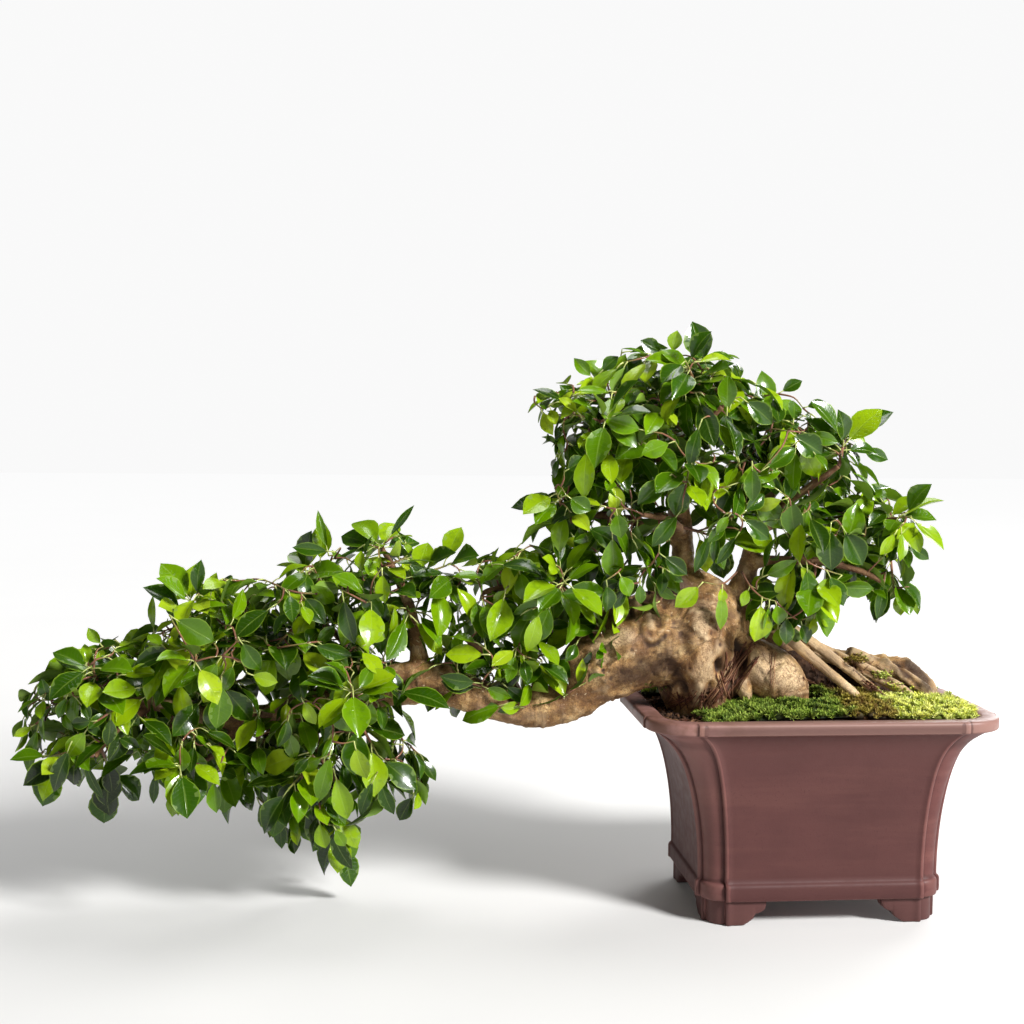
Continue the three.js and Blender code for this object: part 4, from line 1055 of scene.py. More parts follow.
def root_mat(material):
    """Soil and dead roots held under the surface roots on the right."""
    heap = Heap()
    path = spine(ROOT_MAT, 6)
    heap.add(*tube(path[:, :3], path[:, 3], 20))
    piece = heap.build("root_mat", material)
    remesh(piece, ROOT_MAT_VOXEL)
    mesh = piece.data
    points = mesh_points(mesh)
    lift = 3.0 * turbulence(points, 16, 3, 11.0) + 1.6 * turbulence(points, 5, 2, 12.0)
    move_points(mesh, points + mesh_normals(mesh) * lift[:, None])
    return put(piece, "soil")


def thin_branches(material):
    """Branches that carry the sprays, as knobbly tapering tubes."""
    heap = Heap()
    for index, branch in enumerate(BRANCHES):
        path = spine(branch, 10)
        knots = 1 + 0.12 * turbulence(path[:, :3], 9, 2, index)
        points, polygons = tube(path[:, :3], path[:, 3] * knots, 10)
        grain, girth = grain_of(points, [path])
        points = points + 0.35 * turbulence(grain, 4, 2, 9.0)[:, None] * unit(points - points.mean(0))
        plain = {"dark": 0.0, "upward": 0.3, "hollow_fine": 0.0, "hollow_wide": 0.0}
        heap.add(points, polygons, grain=grain * MM, girth=girth, **plain)
    return put(heap.build("branches", material), "bark")


# Foliage

def cad_leaves(node):
    """The leaves of a spray's solid, and the points of its twig.

    A blade's tip is a point with three neighbours. They are its outer section, and theirs are its inner one.
    """
    mesh = node_mesh(node)
    raw = mesh_points(mesh)
    keys, index = np.unique(np.round(raw, 2), axis=0, return_inverse=True)
    index = index.reshape(-1)
    neighbours = [set() for _ in keys]
    for polygon in mesh.polygons:
        ring = [index[v] for v in polygon.vertices]
        for a, b in zip(ring, ring[1:] + ring[:1]):
            neighbours[a].add(b)
            neighbours[b].add(a)
    leaves, used = [], set()
    for tip, around in enumerate(neighbours):
        if len(around) != 3 or min(np.linalg.norm(keys[tip] - keys[p]) for p in around) < SHORTEST_TIP:
            continue
        inner = set().union(*(neighbours[p] for p in around)) - around - {tip}
        if len(inner) != 3:
            continue
        leaves.append(leaf_of(keys, list(inner), list(around)))
        used |= {tip} | around | inner
    twig = np.array([keys[i] for i in range(len(keys)) if i not in used])
    return leaves, twig


def section(keys, indices):
    """Middle of a blade section's two edges, its width, and its keel point."""
    points = [keys[i] for i in indices]
    pairs = [(0, 1, 2), (1, 2, 0), (0, 2, 1)]
    a, b, keel = max(pairs, key=lambda p: np.linalg.norm(points[p[0]] - points[p[1]]))
    return (points[a] + points[b]) / 2, np.linalg.norm(points[a] - points[b]), points[keel]


def leaf_of(keys, inner, outer):
    """Works a leaf's root, direction, face, length and width out of its two sections."""
    middle, width, keel = section(keys, inner)
    _, _, outer_keel = section(keys, outer)
    face = unit(middle - keel)
    run = outer_keel - keel
    flat = run - face * run.dot(face)
    length = np.linalg.norm(flat) / SECTIONS_APART
    ahead = unit(flat)
    root = keel - INNER_SECTION * length * ahead + (0.02 * length + KEEL_DEPTH) * face
    return {"root": root, "ahead": ahead, "face": face, "length": length, "width": width}


# Clouds of foliage, the crown's and then the cascade's: middle and half sizes in mm
CLOUDS = (
    (-188, 0, 478, 54, 62, 40), (-108, 0, 512, 50, 62, 36), (-14, 0, 454, 58, 64, 42),
    (64, -4, 362, 42, 58, 56), (-216, 0, 396, 42, 56, 44), (4, -30, 350, 46, 42, 36),
    (-112, -30, 408, 52, 42, 52), (-276, -12, 312, 46, 50, 44), (-318, -30, 252, 58, 38, 34),
    (-412, 0, 324, 42, 56, 44), (-500, 0, 290, 52, 64, 52), (-446, -20, 222, 40, 62, 50),
    (-506, -4, 160, 56, 60, 56), (-478, -12, 104, 30, 36, 38), (-594, 0, 256, 54, 62, 48),
    (-606, 0, 160, 52, 58, 38), (-684, -5, 210, 46, 54, 44), (-708, -5, 156, 38, 48, 22),
)
# Where the photo has leaves between and around the clouds of the solids
INFILL = (
    (-232, 0, 472, 30, 40, 34), (-124, 0, 530, 28, 30, 18), (-322, 0, 320, 38, 40, 34),
    (-160, -40, 326, 36, 22, 32), (-28, -36, 300, 22, 22, 32), (-50, -40, 298, 22, 16, 26),
    (-690, 0, 244, 36, 40, 20), (-752, 0, 188, 18, 40, 36), (-576, 0, 306, 36, 40, 18),
    (-404, 0, 130, 26, 38, 38), (-290, -46, 230, 60, 18, 24), (-212, -30, 300, 26, 26, 26),
    (-345, -40, 222, 28, 18, 24), (-215, -46, 262, 24, 16, 26), (-252, 0, 500, 26, 34, 22),
    (-172, 0, 546, 28, 30, 16), (-52, -36, 314, 18, 18, 20), (-168, -34, 378, 24, 18, 24),
    (-512, 0, 76, 22, 26, 16), (-30, -40, 416, 30, 18, 34), (-14, -42, 378, 24, 16, 24),
)
# Where the photo looks through to the left leader, and through the gap between the leaders
CLEARINGS = ((-130, -45, 374, 14, 60, 34), (-86, -20, 336, 15, 70, 24))
# Leaves that the photo shows before the trunk: pixels and depth of each twig, then each leaf's base and tip
# pixels, width in mm and tint
FRONT_SPRIGS = (
    (((737, 572, -30), (722, 584, -60), (703, 582, -66)),
     (((703, 582), (677, 609), 19, 0.76), ((722, 584), (722, 604), 10, 0.8),
      ((722, 584), (721, 631), 13, 0.66))),
    (((742, 572, -30), (750, 586, -58), (762, 597, -66), (775, 601, -66)),
     (((762, 597), (757, 643), 23, 0.82), ((775, 601), (781, 625), 17, 0.6),
      ((768, 600), (766, 640), 10, 0.5), ((750, 586), (741, 606), 11, 0.7))),
    (((775, 601, -66), (787, 612, -64), (800, 620, -62), (818, 612, -60)),
     (((787, 612), (786, 645), 16, 0.25), ((800, 620), (809, 644), 16, 0.2),
      ((818, 612), (832, 625), 14, 0.72), ((816, 613), (812, 636), 10, 0.86))),
    (((798, 540, -40), (806, 560, -62), (826, 570, -64), (842, 575, -62)),
     (((806, 560), (813, 615), 25, 0.38), ((842, 575), (819, 598), 20, 0.72),
      ((826, 570), (846, 606), 20, 0.3))),
    (((628, 560, -30), (618, 572, -56), (606, 580, -60)),
     (((618, 572), (632, 596), 17, 0.6), ((606, 580), (611, 612), 16, 0.24))),
)
FRONT_FACE = unit(np.array([0.25, -1.0, 0.45]))
FRONT_LEAF_FACE = unit(np.array([-0.3, -1.0, 0.12]))
# Single leaves that stand out in the photo, the crown's and then the cascade's: the base's two pixel numbers,
# the tip's two, depth and width in mm, and tint
FRONT_LEAVES = (
    (707, 368, 692, 322, -8, 29, 0.3), (672, 356, 677, 330, -6, 15, 0.72), (665, 354, 641, 340, 0, 16, 0.2),
    (594, 380, 575, 358, -8, 13, 0.6), (599, 374, 617, 355, -4, 14, 0.3), (778, 394, 802, 379, 0, 13, 0.25),
    (803, 408, 826, 401, -6, 10, 0.2), (857, 447, 890, 460, -10, 14, 0.3),
    (727, 416, 728, 375, -60, 19, 0.5), (740, 397, 776, 422, -60, 20, 0.3),
    (788, 431, 824, 455, -56, 25, 0.34), (760, 472, 798, 448, -66, 18, 0.4),
    (752, 461, 753, 502, -68, 17, 0.42), (702, 419, 686, 466, -66, 15, 0.3),
    (675, 441, 642, 454, -64, 18, 0.62), (672, 474, 638, 504, -66, 20, 0.4),
    (566, 495, 590, 512, -52, 19, 0.44), (564, 472, 586, 458, -40, 18, 0.3),
    (616, 509, 622, 538, -60, 18, 0.5), (682, 509, 654, 547, -66, 17, 0.38),
    (659, 553, 689, 574, -64, 17, 0.16), (712, 527, 697, 574, -44, 12, 0.3),
    (717, 527, 713, 563, -36, 10, 0.36), (740, 531, 718, 565, -52, 11, 0.24),
    (738, 515, 772, 540, -66, 18, 0.36), (841, 525, 866, 565, -60, 25, 0.3),
    (831, 522, 828, 571, -64, 27, 0.2), (871, 518, 900, 523, -10, 9, 0.3),
    (905, 543, 931, 560, -10, 12, 0.32), (886, 572, 879, 621, -24, 12, 0.28),
    (897, 588, 902, 616, -16, 14, 0.74), (914, 591, 918, 615, -4, 8, 0.7),
    (169, 615, 213, 643, -60, 27, 0.5), (335, 552, 292, 547, -6, 13, 0.3), (329, 556, 317, 511, 0, 9, 0.56),
    (385, 543, 413, 504, 0, 8, 0.2), (382, 568, 383, 604, -58, 15, 0.76),
    (342, 590, 351, 646, -62, 18, 0.2), (357, 581, 382, 618, -54, 20, 0.3),
    (222, 656, 197, 693, -66, 18, 0.56), (238, 637, 260, 671, -66, 19, 0.4),
    (247, 673, 277, 684, -68, 14, 0.76), (307, 643, 351, 659, -66, 16, 0.36),
    (342, 665, 313, 681, -68, 15, 0.3), (354, 672, 335, 709, -72, 15, 0.76),
    (301, 697, 316, 725, -68, 13, 0.76), (332, 700, 348, 734, -66, 19, 0.5),
    (332, 747, 318, 805, -64, 18, 0.6), (354, 741, 363, 781, -66, 20, 0.8),
    (376, 775, 357, 816, -50, 14, 0.24), (379, 775, 390, 817, -40, 16, 0.3),
    (395, 759, 410, 797, -30, 15, 0.4), (307, 794, 322, 852, -24, 21, 0.16),
    (326, 822, 350, 874, -14, 17, 0.1), (282, 810, 279, 850, -10, 14, 0.26),
    (257, 797, 272, 836, -14, 17, 0.1), (179, 788, 168, 817, -30, 15, 0.7),
    (157, 766, 152, 805, -24, 10, 0.2), (213, 775, 216, 814, -36, 15, 0.56),
    (182, 741, 182, 772, -62, 18, 0.6), (50, 706, 41, 680, -14, 13, 0.3), (72, 741, 50, 795, -36, 19, 0.14),
    (41, 719, 23, 775, -16, 13, 0.5), (81, 753, 99, 802, -30, 10, 0.12), (197, 600, 197, 560, -8, 15, 0.3),
    (103, 647, 88, 628, -10, 12, 0.7), (155, 637, 149, 597, -6, 8, 0.7),
)
# A leaf's straight run between its two pixels is a little shorter than the leaf
FRONT_LEAF_STRETCH = 1.04
# Shifts in depth that a single leaf tries until it crosses no other
DEPTH_TRIES = (0, -7, 7, -14, 14, -21, 21)
CLOUD_MARGIN, BOX_MARGIN = 9, 6
# How seldom new shoots end deep inside a cloud: 1/3 would spread them evenly, 0 puts all on its skin
CLOUD_HOLLOW = 0.22
SEED = 7
# Most new shoots there may be, how near and how far their ends are, and the thickest wood that bears them
SHOOTS = 1100
SHOOT_REACH = (12, 46)
BEARING_RADIUS = 20
# Distance of leaves along a shoot in mm, tries to find room for each one, and the most that there may be
LEAF_SPACING, LEAF_TRIES, MOST_LEAVES = 6.5, 6, 6000

# Rows of a blade from its base to its tip: share of the length, half width, and how far it is bent down
BLADE_ROWS = ((0.03, 0.08, 0.0), (0.11, 0.32, 0.0), (0.26, 0.72, 0.004), (0.43, 0.97, 0.012),
              (0.60, 0.98, 0.034), (0.76, 0.74, 0.07), (0.89, 0.36, 0.105), (0.955, 0.13, 0.125))
BLADE_COLUMNS = (-1.0, -0.5, 0.0, 0.5, 1.0)
BLADE_TIP_DROP = 0.14


def blade_template():
    """Flat pattern of a blade: across, along, drop and side of each point, then quads, triangles and rim."""
    rows, columns = len(BLADE_ROWS), len(BLADE_COLUMNS)

    def index(r, c):
        return 1 + r * columns + c

    points = [(0.0, 0.0, 0.0, 0.0)]
    for along, half, drop in BLADE_ROWS:
        points += [(half * c, along, drop, 0.0) for c in BLADE_COLUMNS]
    points.append((0.0, 1.0, BLADE_TIP_DROP, 0.0))
    top_count = len(points)
    inner = {}
    for r in range(rows):
        for c in range(1, columns - 1):
            inner[index(r, c)] = top_count + len(inner)
            across, along, drop, _ = points[index(r, c)]
            points.append((across, along, drop, -1.0))
    quads, fans = [], []
    for r in range(rows - 1):
        for c in range(columns - 1):
            quads.append((index(r, c), index(r, c + 1), index(r + 1, c + 1), index(r + 1, c)))
    for c in range(columns - 1):
        fans.append((0, index(0, c + 1), index(0, c)))
        fans.append((top_count - 1, index(rows - 1, c), index(rows - 1, c + 1)))
    under_quads = [tuple(inner.get(i, i) for i in q[::-1]) for q in quads]
    under_fans = [tuple(inner.get(i, i) for i in f[::-1]) for f in fans]
    rim = [0, top_count - 1] + [index(r, c) for r in range(rows) for c in (0, columns - 1)]
    quads, fans = np.array(quads + under_quads), np.array(fans + under_fans)
    return np.array(points), quads, fans, np.array(rim)


BLADE = blade_template()


def blade_points(leaf, rng):
    """Points of a leaf's blade, folded along its rib, bent down to its tip and a little wavy at its edge."""
    across, along, drop, side = BLADE[0].T
    ahead, face, length, half = leaf["ahead"], leaf["face"], leaf["length"], leaf["width"] / 2
    right = np.cross(ahead, face)
    blade = length * (1 - STALK_SHARE)
    fold, wave, curl = rng.uniform(*FOLD), rng.uniform(*WAVE), rng.uniform(*CURL)
    phase, bend, twist = rng.uniform(0, 6.28), rng.uniform(-BEND, BEND), rng.uniform(-TWIST, TWIST)
    lift = half * (fold * np.abs(across) - 0.08) + half * wave * np.sin(9 * along + phase) * across ** 2
    lift += half * twist * across * (along - 0.3)
    lift -= blade * drop * curl
    lift += LEAF_THICKNESS * side * (1 - np.abs(across))
    sideways = across * half + bend * blade * along ** 2
    start = leaf["root"] + ahead * length * STALK_SHARE
    return (start + ahead * (along * blade)[:, None] * (1 - 0.06 * along[:, None])
            + right * sideways[:, None] + face * lift[:, None])


def stalk_path(leaf):
    """From the twig to the blade's rib, a little arched."""
    share = np.array([0.0, 0.5, 1.0, 1.35])
    arch = np.array([0.0, 0.6, 0.3, -0.25])
    points = leaf["root"] + leaf["ahead"] * (leaf["length"] * STALK_SHARE * share)[:, None]
    return points + leaf["face"] * arch[:, None]


# Six corners round a blade: share of the leaf's length, share of its width, and sag as a share of the length;
# then the triangles between them
CORNERS = ((0.25, 0, 0), (0.38, -0.42, 0), (0.72, -0.42, 0.05), (0.97, 0, 0.12), (0.72, 0.42, 0.05),
           (0.38, 0.42, 0))
TRIANGLES = np.array([(0, 1, 5), (1, 2, 5), (2, 4, 5), (2, 3, 4)])


def outline(leaf):
    """The corners of a leaf's blade, for finding blades that would cross."""
    ahead, face = leaf["ahead"], leaf["face"]
    right = np.cross(ahead, face)
    return np.array([leaf["root"] + ahead * leaf["length"] * a + right * leaf["width"] * b
                     - face * leaf["length"] * sag for a, b, sag in CORNERS])


def edges_cut(start, end, corners):
    """True where any edge start-end goes through any of the triangles, by Moller and Trumbore."""
    way = (end - start)[:, None]
    first = corners[None, :, 1] - corners[None, :, 0]
    second = corners[None, :, 2] - corners[None, :, 0]
    normal = np.cross(way, second)
    size = np.einsum("ijk,ijk->ij", first + 0 * way, normal)
    size = np.where(np.abs(size) < 1e-9, 1e-9, size)
    offset = start[:, None] - corners[None, :, 0]
    u = np.einsum("ijk,ijk->ij", offset, normal) / size
    turned = np.cross(offset, first)
    v = np.einsum("ijk,ijk->ij", way + 0 * turned, turned) / size
    t = np.einsum("ijk,ijk->ij", second + 0 * turned, turned) / size
    return bool(np.any((u > 0) & (v > 0) & (u + v < 1) & (t > 0) & (t < 1)))


class Canopy:
    """Keeps the blades that have been set, so that new ones stay clear of them."""

    def __init__(self):
        self.middles = np.zeros((MOST_LEAVES, 3))
        self.outlines = np.zeros((MOST_LEAVES, len(CORNERS), 3))
        self.count = 0

    def crossed(self, shape):
        middle = shape.mean(0)
        near = np.linalg.norm(self.middles[:self.count] - middle, axis=1)
        if np.any(near < LEAF_CLEARANCE):
            return True
        others = self.outlines[:self.count][near < LEAF_REACH]
        if not len(others):
            return False
        theirs = others[:, TRIANGLES].reshape(-1, 3, 3)
        if edges_cut(shape, np.roll(shape, -1, 0), theirs):
            return True
        return edges_cut(others.reshape(-1, 3), np.roll(others, -1, 1).reshape(-1, 3), shape[TRIANGLES])

    def add(self, shape):
        self.middles[self.count] = shape.mean(0)
        self.outlines[self.count] = shape
        self.count += 1


def ways_into(points, ellipsoids, margin=0):
    """Way from the middle of each ellipsoid to the points, 1 long at its skin."""
    ellipsoids = np.array(ellipsoids, float)
    return (points - ellipsoids[:, :3]) / (ellipsoids[:, 3:] + margin)


def in_clouds(point):
    low, high = pot_frame(CAD_BOX[0]) - BOX_MARGIN, pot_frame(CAD_BOX[1]) + BOX_MARGIN
    if np.any(point < low) or np.any(point > high):
        return False
    return bool(np.any(np.sum(ways_into(point, CLOUDS + INFILL, CLOUD_MARGIN) ** 2, -1) < 1))


def in_clearing(shape):
    return bool(np.any(np.sum(ways_into(shape[:, None], CLEARINGS) ** 2, -1) < 1))


def way_into_cloud(point):
    """Way to a point from the middle of the cloud that it lies deepest in, 1 long at the cloud's skin."""
    ways = ways_into(point, CLOUDS)
    return ways[np.argmin(np.sum(ways ** 2, -1))]


def at_depth(pixel, y):
    """The point of the plane at depth y that the photo shows at a pixel."""
    way = sight(pixel)
    return np.array(EYE) + way * (y - EYE[1]) / way[1]


def pixel_leaf(root, tip, toward, width, tint):
    """A leaf from its root to its tip that turns its face as far as it can one way."""
    run = tip - root
    ahead = unit(run)
    face = unit(toward - ahead * ahead.dot(toward))
    length = np.linalg.norm(run) * FRONT_LEAF_STRETCH
    return {"root": root, "ahead": ahead, "face": face, "length": length, "width": width, "tint": tint}


def front_sprig(twig, leaves):
    """A twig in front of the trunk and its leaves, each from the twig to the pixel of its tip."""
    path = spine([at_depth((x, y), depth) for x, y, depth in twig], 4)
    grown = []
    for base, tip, width, tint in leaves:
        root = min(path, key=lambda p: np.linalg.norm(p - at_depth(base, p[1])))
        grown.append(pixel_leaf(root, at_depth(tip, root[1] - 4), FRONT_FACE, width, tint))
    return path, grown


def front_leaf(base, tip, depth, width, tint, canopy):
    """One leaf between two pixels, as near to its depth as it finds room, or None."""
    for offset in DEPTH_TRIES:
        root, end = at_depth(base, depth + offset), at_depth(tip, depth + offset - 5)
        leaf = pixel_leaf(root, end, FRONT_LEAF_FACE, width, tint)
        if not canopy.crossed(outline(leaf)):
            return leaf
    return None


def twig_path(leaves, twig, wood):
    """The line of a spray's twig, from inside its branch to its end."""
    roots = np.array([leaf["root"] for leaf in leaves])
    middle = roots.mean(0)
    ahead = np.linalg.svd(roots - middle)[2][0]
    reach = (twig - middle) @ ahead
    ends = middle + ahead * reach.min(), middle + ahead * reach.max()
    nearest = [wood.find(end) for end in ends]
    if nearest[0][2] > nearest[1][2]:
        ahead, reach = -ahead, -reach
        nearest = nearest[::-1]
    order = np.argsort(roots @ ahead)
    start = twig[np.argsort(reach)[:3]].mean(0)
    end = twig[np.argsort(reach)[-3:]].mean(0)
    inside = start + 0.8 * (np.array(nearest[0][0]) - start)
    return np.array([inside, start] + list(roots[order]) + [end])


def outward_at(point):
    """Away from the middle of the nearest cloud, and up."""
    return unit(way_into_cloud(point) + np.array([0, 0, 0.9]))


def new_leaf(root, heading, rng, droop, size):
    """A leaf that leaves the twig to one side and shows its face to the light."""
    ahead = unit(heading + np.array([0, 0, -FALL - HANGING_FALL * droop]) + rng.normal(0, AIM_SPREAD, 3))
    up = outward_at(root) + FACE_TURN + rng.normal(0, FACE_SPREAD, 3)
    face = unit(up - ahead * up.dot(ahead))
    length = rng.uniform(*LEAF_LENGTH) * size
    width = length * rng.uniform(*LEAF_SHAPE)
    return {"root": root, "ahead": ahead, "face": face, "length": length, "width": width}


class Thicket:
    """Points along all the twigs that new shoots grow from, each with its direction and its spray's name."""

    def __init__(self):
        self.points, self.ways, self.owners = [], [], []

    def add(self, path, owner, skip=0):
        ways = unit(np.gradient(path, axis=0))
        for point, way in list(zip(path, ways))[skip:]:
            self.points.append(point)
            self.ways.append(way)
            self.owners.append(owner)

    def add_bud(self, point):
        """A spot on a branch, with the spray that is nearest to it."""
        nearest = np.argmin(np.linalg.norm(np.array(self.points) - point, axis=1))
        self.points.append(point)
        self.ways.append(np.zeros(3))
        self.owners.append(self.owners[nearest])

    def nearest(self, target):
        apart = np.linalg.norm(np.array(self.points) - target, axis=1)
        i = int(np.argmin(apart))
        return self.points[i], self.ways[i], self.owners[i], apart[i]


def target_in_cloud(cloud, rng):
    """A point in a cloud, more often near its outside."""
    out = unit(rng.normal(size=3)) * rng.uniform() ** CLOUD_HOLLOW
    return np.array(cloud[:3]) + out * (np.array(cloud[3:]) + 2)


def shoot_to(target, start, way):
    """A short twig that leaves its parent slantwise and bends towards a target."""
    straight = target - start
    reach = min(np.linalg.norm(straight), SHOOT_REACH[1])
    heading = unit(unit(straight) + 0.45 * way)
    end = start + unit(straight) * reach
    knee = start + heading * reach * 0.5
    return spine([start, knee, end], 3)


def leaf_size(rng):
    """Mostly full-grown leaves, with some young small ones among them."""
    return rng.uniform(*(YOUNG_SIZE if rng.uniform() < YOUNG_SHARE else GROWN_SIZE))


def shoot_leaves(shoot, rng, droop, canopy):
    """Leaves set alternately along the outer part of a shoot, and one at its end."""
    length = np.linalg.norm(shoot[-1] - shoot[0])
    ahead = unit(shoot[-1] - shoot[0])
    side = unit(np.cross(ahead, rng.normal(size=3)))
    other = np.cross(ahead, side)
    count = max(3, int(length / LEAF_SPACING))
    kept = []
    for j in range(count):
        share = 0.3 + 0.7 * (j + 1) / count
        at = np.array([np.interp(share * (len(shoot) - 1), range(len(shoot)), shoot[:, k]) for k in range(3)])
        last = j == count - 1
        for _ in range(LEAF_TRIES):
            turn = j * math.pi + rng.normal(0, 0.5)
            off = math.cos(turn) * side + math.sin(turn) * other
            lean = END_LEAN if last else rng.uniform(*SIDE_LEAN)
            leaf = new_leaf(at, unit(ahead + lean * off), rng, droop, leaf_size(rng))
            shape = outline(leaf)
            if in_clouds(shape[3]) and not in_clearing(shape) and not canopy.crossed(shape):
                leaf["young"] = j / count
                kept.append(leaf)
                canopy.add(shape)
                break
    return kept


def droop_at(point):
    """0 for leaves that stand out to 1 for those that hang, low down in the cascade."""
    return float(smooth_step(300, 150, point[2]) * smooth_step(-300, -420, point[0]))


def level_in_cloud(point):
    """1 at the top of the nearest cloud, -1 at its foot."""
    return float(np.clip(way_into_cloud(point)[2], -1, 1))


def spray_tint(leaf, rng):
    """0 for old dark leaves to 1 for young bright ones, which are mostly outside and at the top;
    painted light brightens leaves that face up, and painted shade darkens those that hang low.
    """
    if "tint" in leaf:
        return leaf["tint"]
    # Painted light: a leaf that faces up gets a brighter tint
    facing_up = unit(leaf["face"]) @ np.array([-0.1, -0.3, 0.9])
    young = leaf.get("young", 0.4)
    # Painted shade: leaves that hang low in the cascade get a lower level, so a darker tint
    high = level_in_cloud(leaf["root"]) - 0.7 * droop_at(leaf["root"])
    in_cascade = float(leaf["root"][0] < CASCADE_FROM)
    if rng.uniform() < BRIGHT + BRIGHT_YOUNG * young + BRIGHT_HIGH * high + BRIGHT_CASCADE * in_cascade:
        return float(np.clip(rng.normal(BRIGHT_TINT + 0.05 * high, BRIGHT_SPREAD), 0, 0.86))
    tint = DARK_TINT + 0.08 * facing_up + 0.08 * young + 0.06 * high
    return float(np.clip(rng.normal(tint, DARK_SPREAD), 0, 1))


def solid_sprays():
    """Leaves and twig of each spray of the solids, under its name."""
    stems = BRANCHES + (LIMB, LEFT_LEADER, RIGHT_LEADER, TRUNK)
    wood = point_tree([sample[:3] for stem in stems for sample in spine(stem, 10)])
    sprays = {}
    for name in sorted(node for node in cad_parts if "_spray_" in node):
        leaves, twig = cad_leaves(name)
        sprays[name] = leaves, twig_path(leaves, twig, wood)
    return sprays


class Foliage:
    """The sprays as they grow: the leaves, twig and side shoots of each, and the room left between them."""

    def __init__(self):
        self.sprays = solid_sprays()
        self.shoots = {name: [] for name in self.sprays}
        self.canopy = Canopy()
        self.thicket = Thicket()
        for name, (leaves, path) in self.sprays.items():
            for leaf in leaves:
                self.canopy.add(outline(leaf))
            self.thicket.add(spine(path[1:], 2), name)
        for stem in BRANCHES + (LIMB,):
            for point in spine(stem, 4):
                if point[3] < BEARING_RADIUS:
                    self.thicket.add_bud(point[:3])

    def keep(self, owner, shoot, leaves):
        self.shoots[owner].append(shoot)
        self.sprays[owner][0].extend(leaves)

    def grow_front_leaves(self):
        """The leaves that the photo shows singly."""
        for twig, leaves in FRONT_SPRIGS:
            path, grown = front_sprig(twig, leaves)
            self.keep(self.thicket.nearest(path[0])[2], path, grown)
            for leaf in grown:
                self.canopy.add(outline(leaf))
        for x, y, tip_x, tip_y, depth, width, tint in FRONT_LEAVES:
            leaf = front_leaf((x, y), (tip_x, tip_y), depth, width, tint, self.canopy)
            if leaf is not None:
                start, way, owner, apart = self.thicket.nearest(leaf["root"])
                knee = (start + leaf["root"]) / 2 + 0.2 * apart * unit(way) + np.array([0, 0, 0.1 * apart])
                shoot = spine([start, knee, leaf["root"]], 4)
                self.keep(owner, shoot, [leaf])
                self.thicket.add(shoot, owner, 5)
                self.canopy.add(outline(leaf))

    def fill_clouds(self, rng):
        """Shoots with leaves towards random places in the clouds, more of them in the larger clouds."""
        clouds = CLOUDS + INFILL
        sizes = np.array([np.prod(cloud[3:]) for cloud in clouds], float) ** 0.67
        grown = 0
        for pick in rng.choice(len(clouds), SHOOTS * 4, p=sizes / sizes.sum()):
            target = target_in_cloud(clouds[pick], rng)
            start, way, owner, apart = self.thicket.nearest(target)
            if apart < SHOOT_REACH[0] or grown == SHOOTS:
                continue
            shoot = shoot_to(target, start, way)
            leaves = shoot_leaves(shoot, rng, droop_at(target), self.canopy)
            if len(leaves) == 1:
                self.canopy.count -= 1
            elif leaves:
                self.thicket.add(shoot, owner, 3)
                self.keep(owner, shoot, leaves)
                grown += 1


def foliage():
    """One piece for each spray: its twig, its side shoots and all their leaves."""
    plant = Foliage()
    plant.grow_front_leaves()
    rng = np.random.default_rng(SEED)
    plant.fill_clouds(rng)
    material = leaf_material()
    for name, (leaves, path) in plant.sprays.items():
        spray_piece(name, leaves, path, plant.shoots[name], material, rng)


def spray_piece(name, leaves, path, shoots, material, rng):
    """The piece of one spray; the rims of its blades are sharp edges."""
    heap = Heap()
    pattern, quads, fans, rim = BLADE
    half = np.interp(pattern[:, 1], [row[0] for row in BLADE_ROWS], [row[1] for row in BLADE_ROWS])
    blade = np.column_stack([pattern[:, 0] / np.maximum(half, 0.05), pattern[:, 1], np.zeros(len(pattern))])
    off_blade = {"blade": (0.0, 0.0, 0.0), "under": 0.0}
    rims = []
    for leaf in leaves:
        points = blade_points(leaf, rng)
        tint = spray_tint(leaf, rng)
        rims.append(rim + heap.count)
        heap.add(points, [quads, fans], blade=blade, tint=tint, kind=0.0, under=(pattern[:, 3] < 0) * 1.0)
        heap.add(*tube(stalk_path(leaf), STALK_RADII, 4), tint=tint, kind=1.0, **off_blade)
    lines = [(path, TWIG_RADII)] + [(shoot, SHOOT_RADII) for shoot in shoots]
    for line, radii in lines:
        ages = np.append(np.repeat(np.linspace(0.1, 0.8, len(line)), 5), [0.1, 0.8])
        heap.add(*tube(line, np.linspace(*radii, len(line)), 5), tint=ages, kind=2.0, **off_blade)
    piece = heap.build("leaves_" + name, material)
    mesh = piece.data
    on_rim = np.zeros(len(mesh.vertices), bool)
    on_rim[np.concatenate(rims)] = True
    layer = mesh.attributes.new("sharp_edge", "BOOLEAN", "EDGE")
    layer.data.foreach_set("value", on_rim[edge_pairs(mesh)].all(1))
    return put(piece, "leaf", name)


# Soil, roots and moss

# How many crumbs there are, and what a spot without soil counts for instead of one
CRUMBS, MISS = 3400, 0.25
# Half length and half depth of the strewn ground, and how a crumb's axes vary
STREWN, CRUMB_SHAPE = (152, 90), (0.6, 1.25)


def pebble_template():
    """Points and faces of a ball of 20 triangles."""
    bm = bmesh.new()
    bmesh.ops.create_icosphere(bm, subdivisions=1, radius=1)
    points = np.array([v.co[:] for v in bm.verts])
    faces = np.array([[v.index for v in f.verts] for f in bm.faces])
    bm.free()
    return points, faces


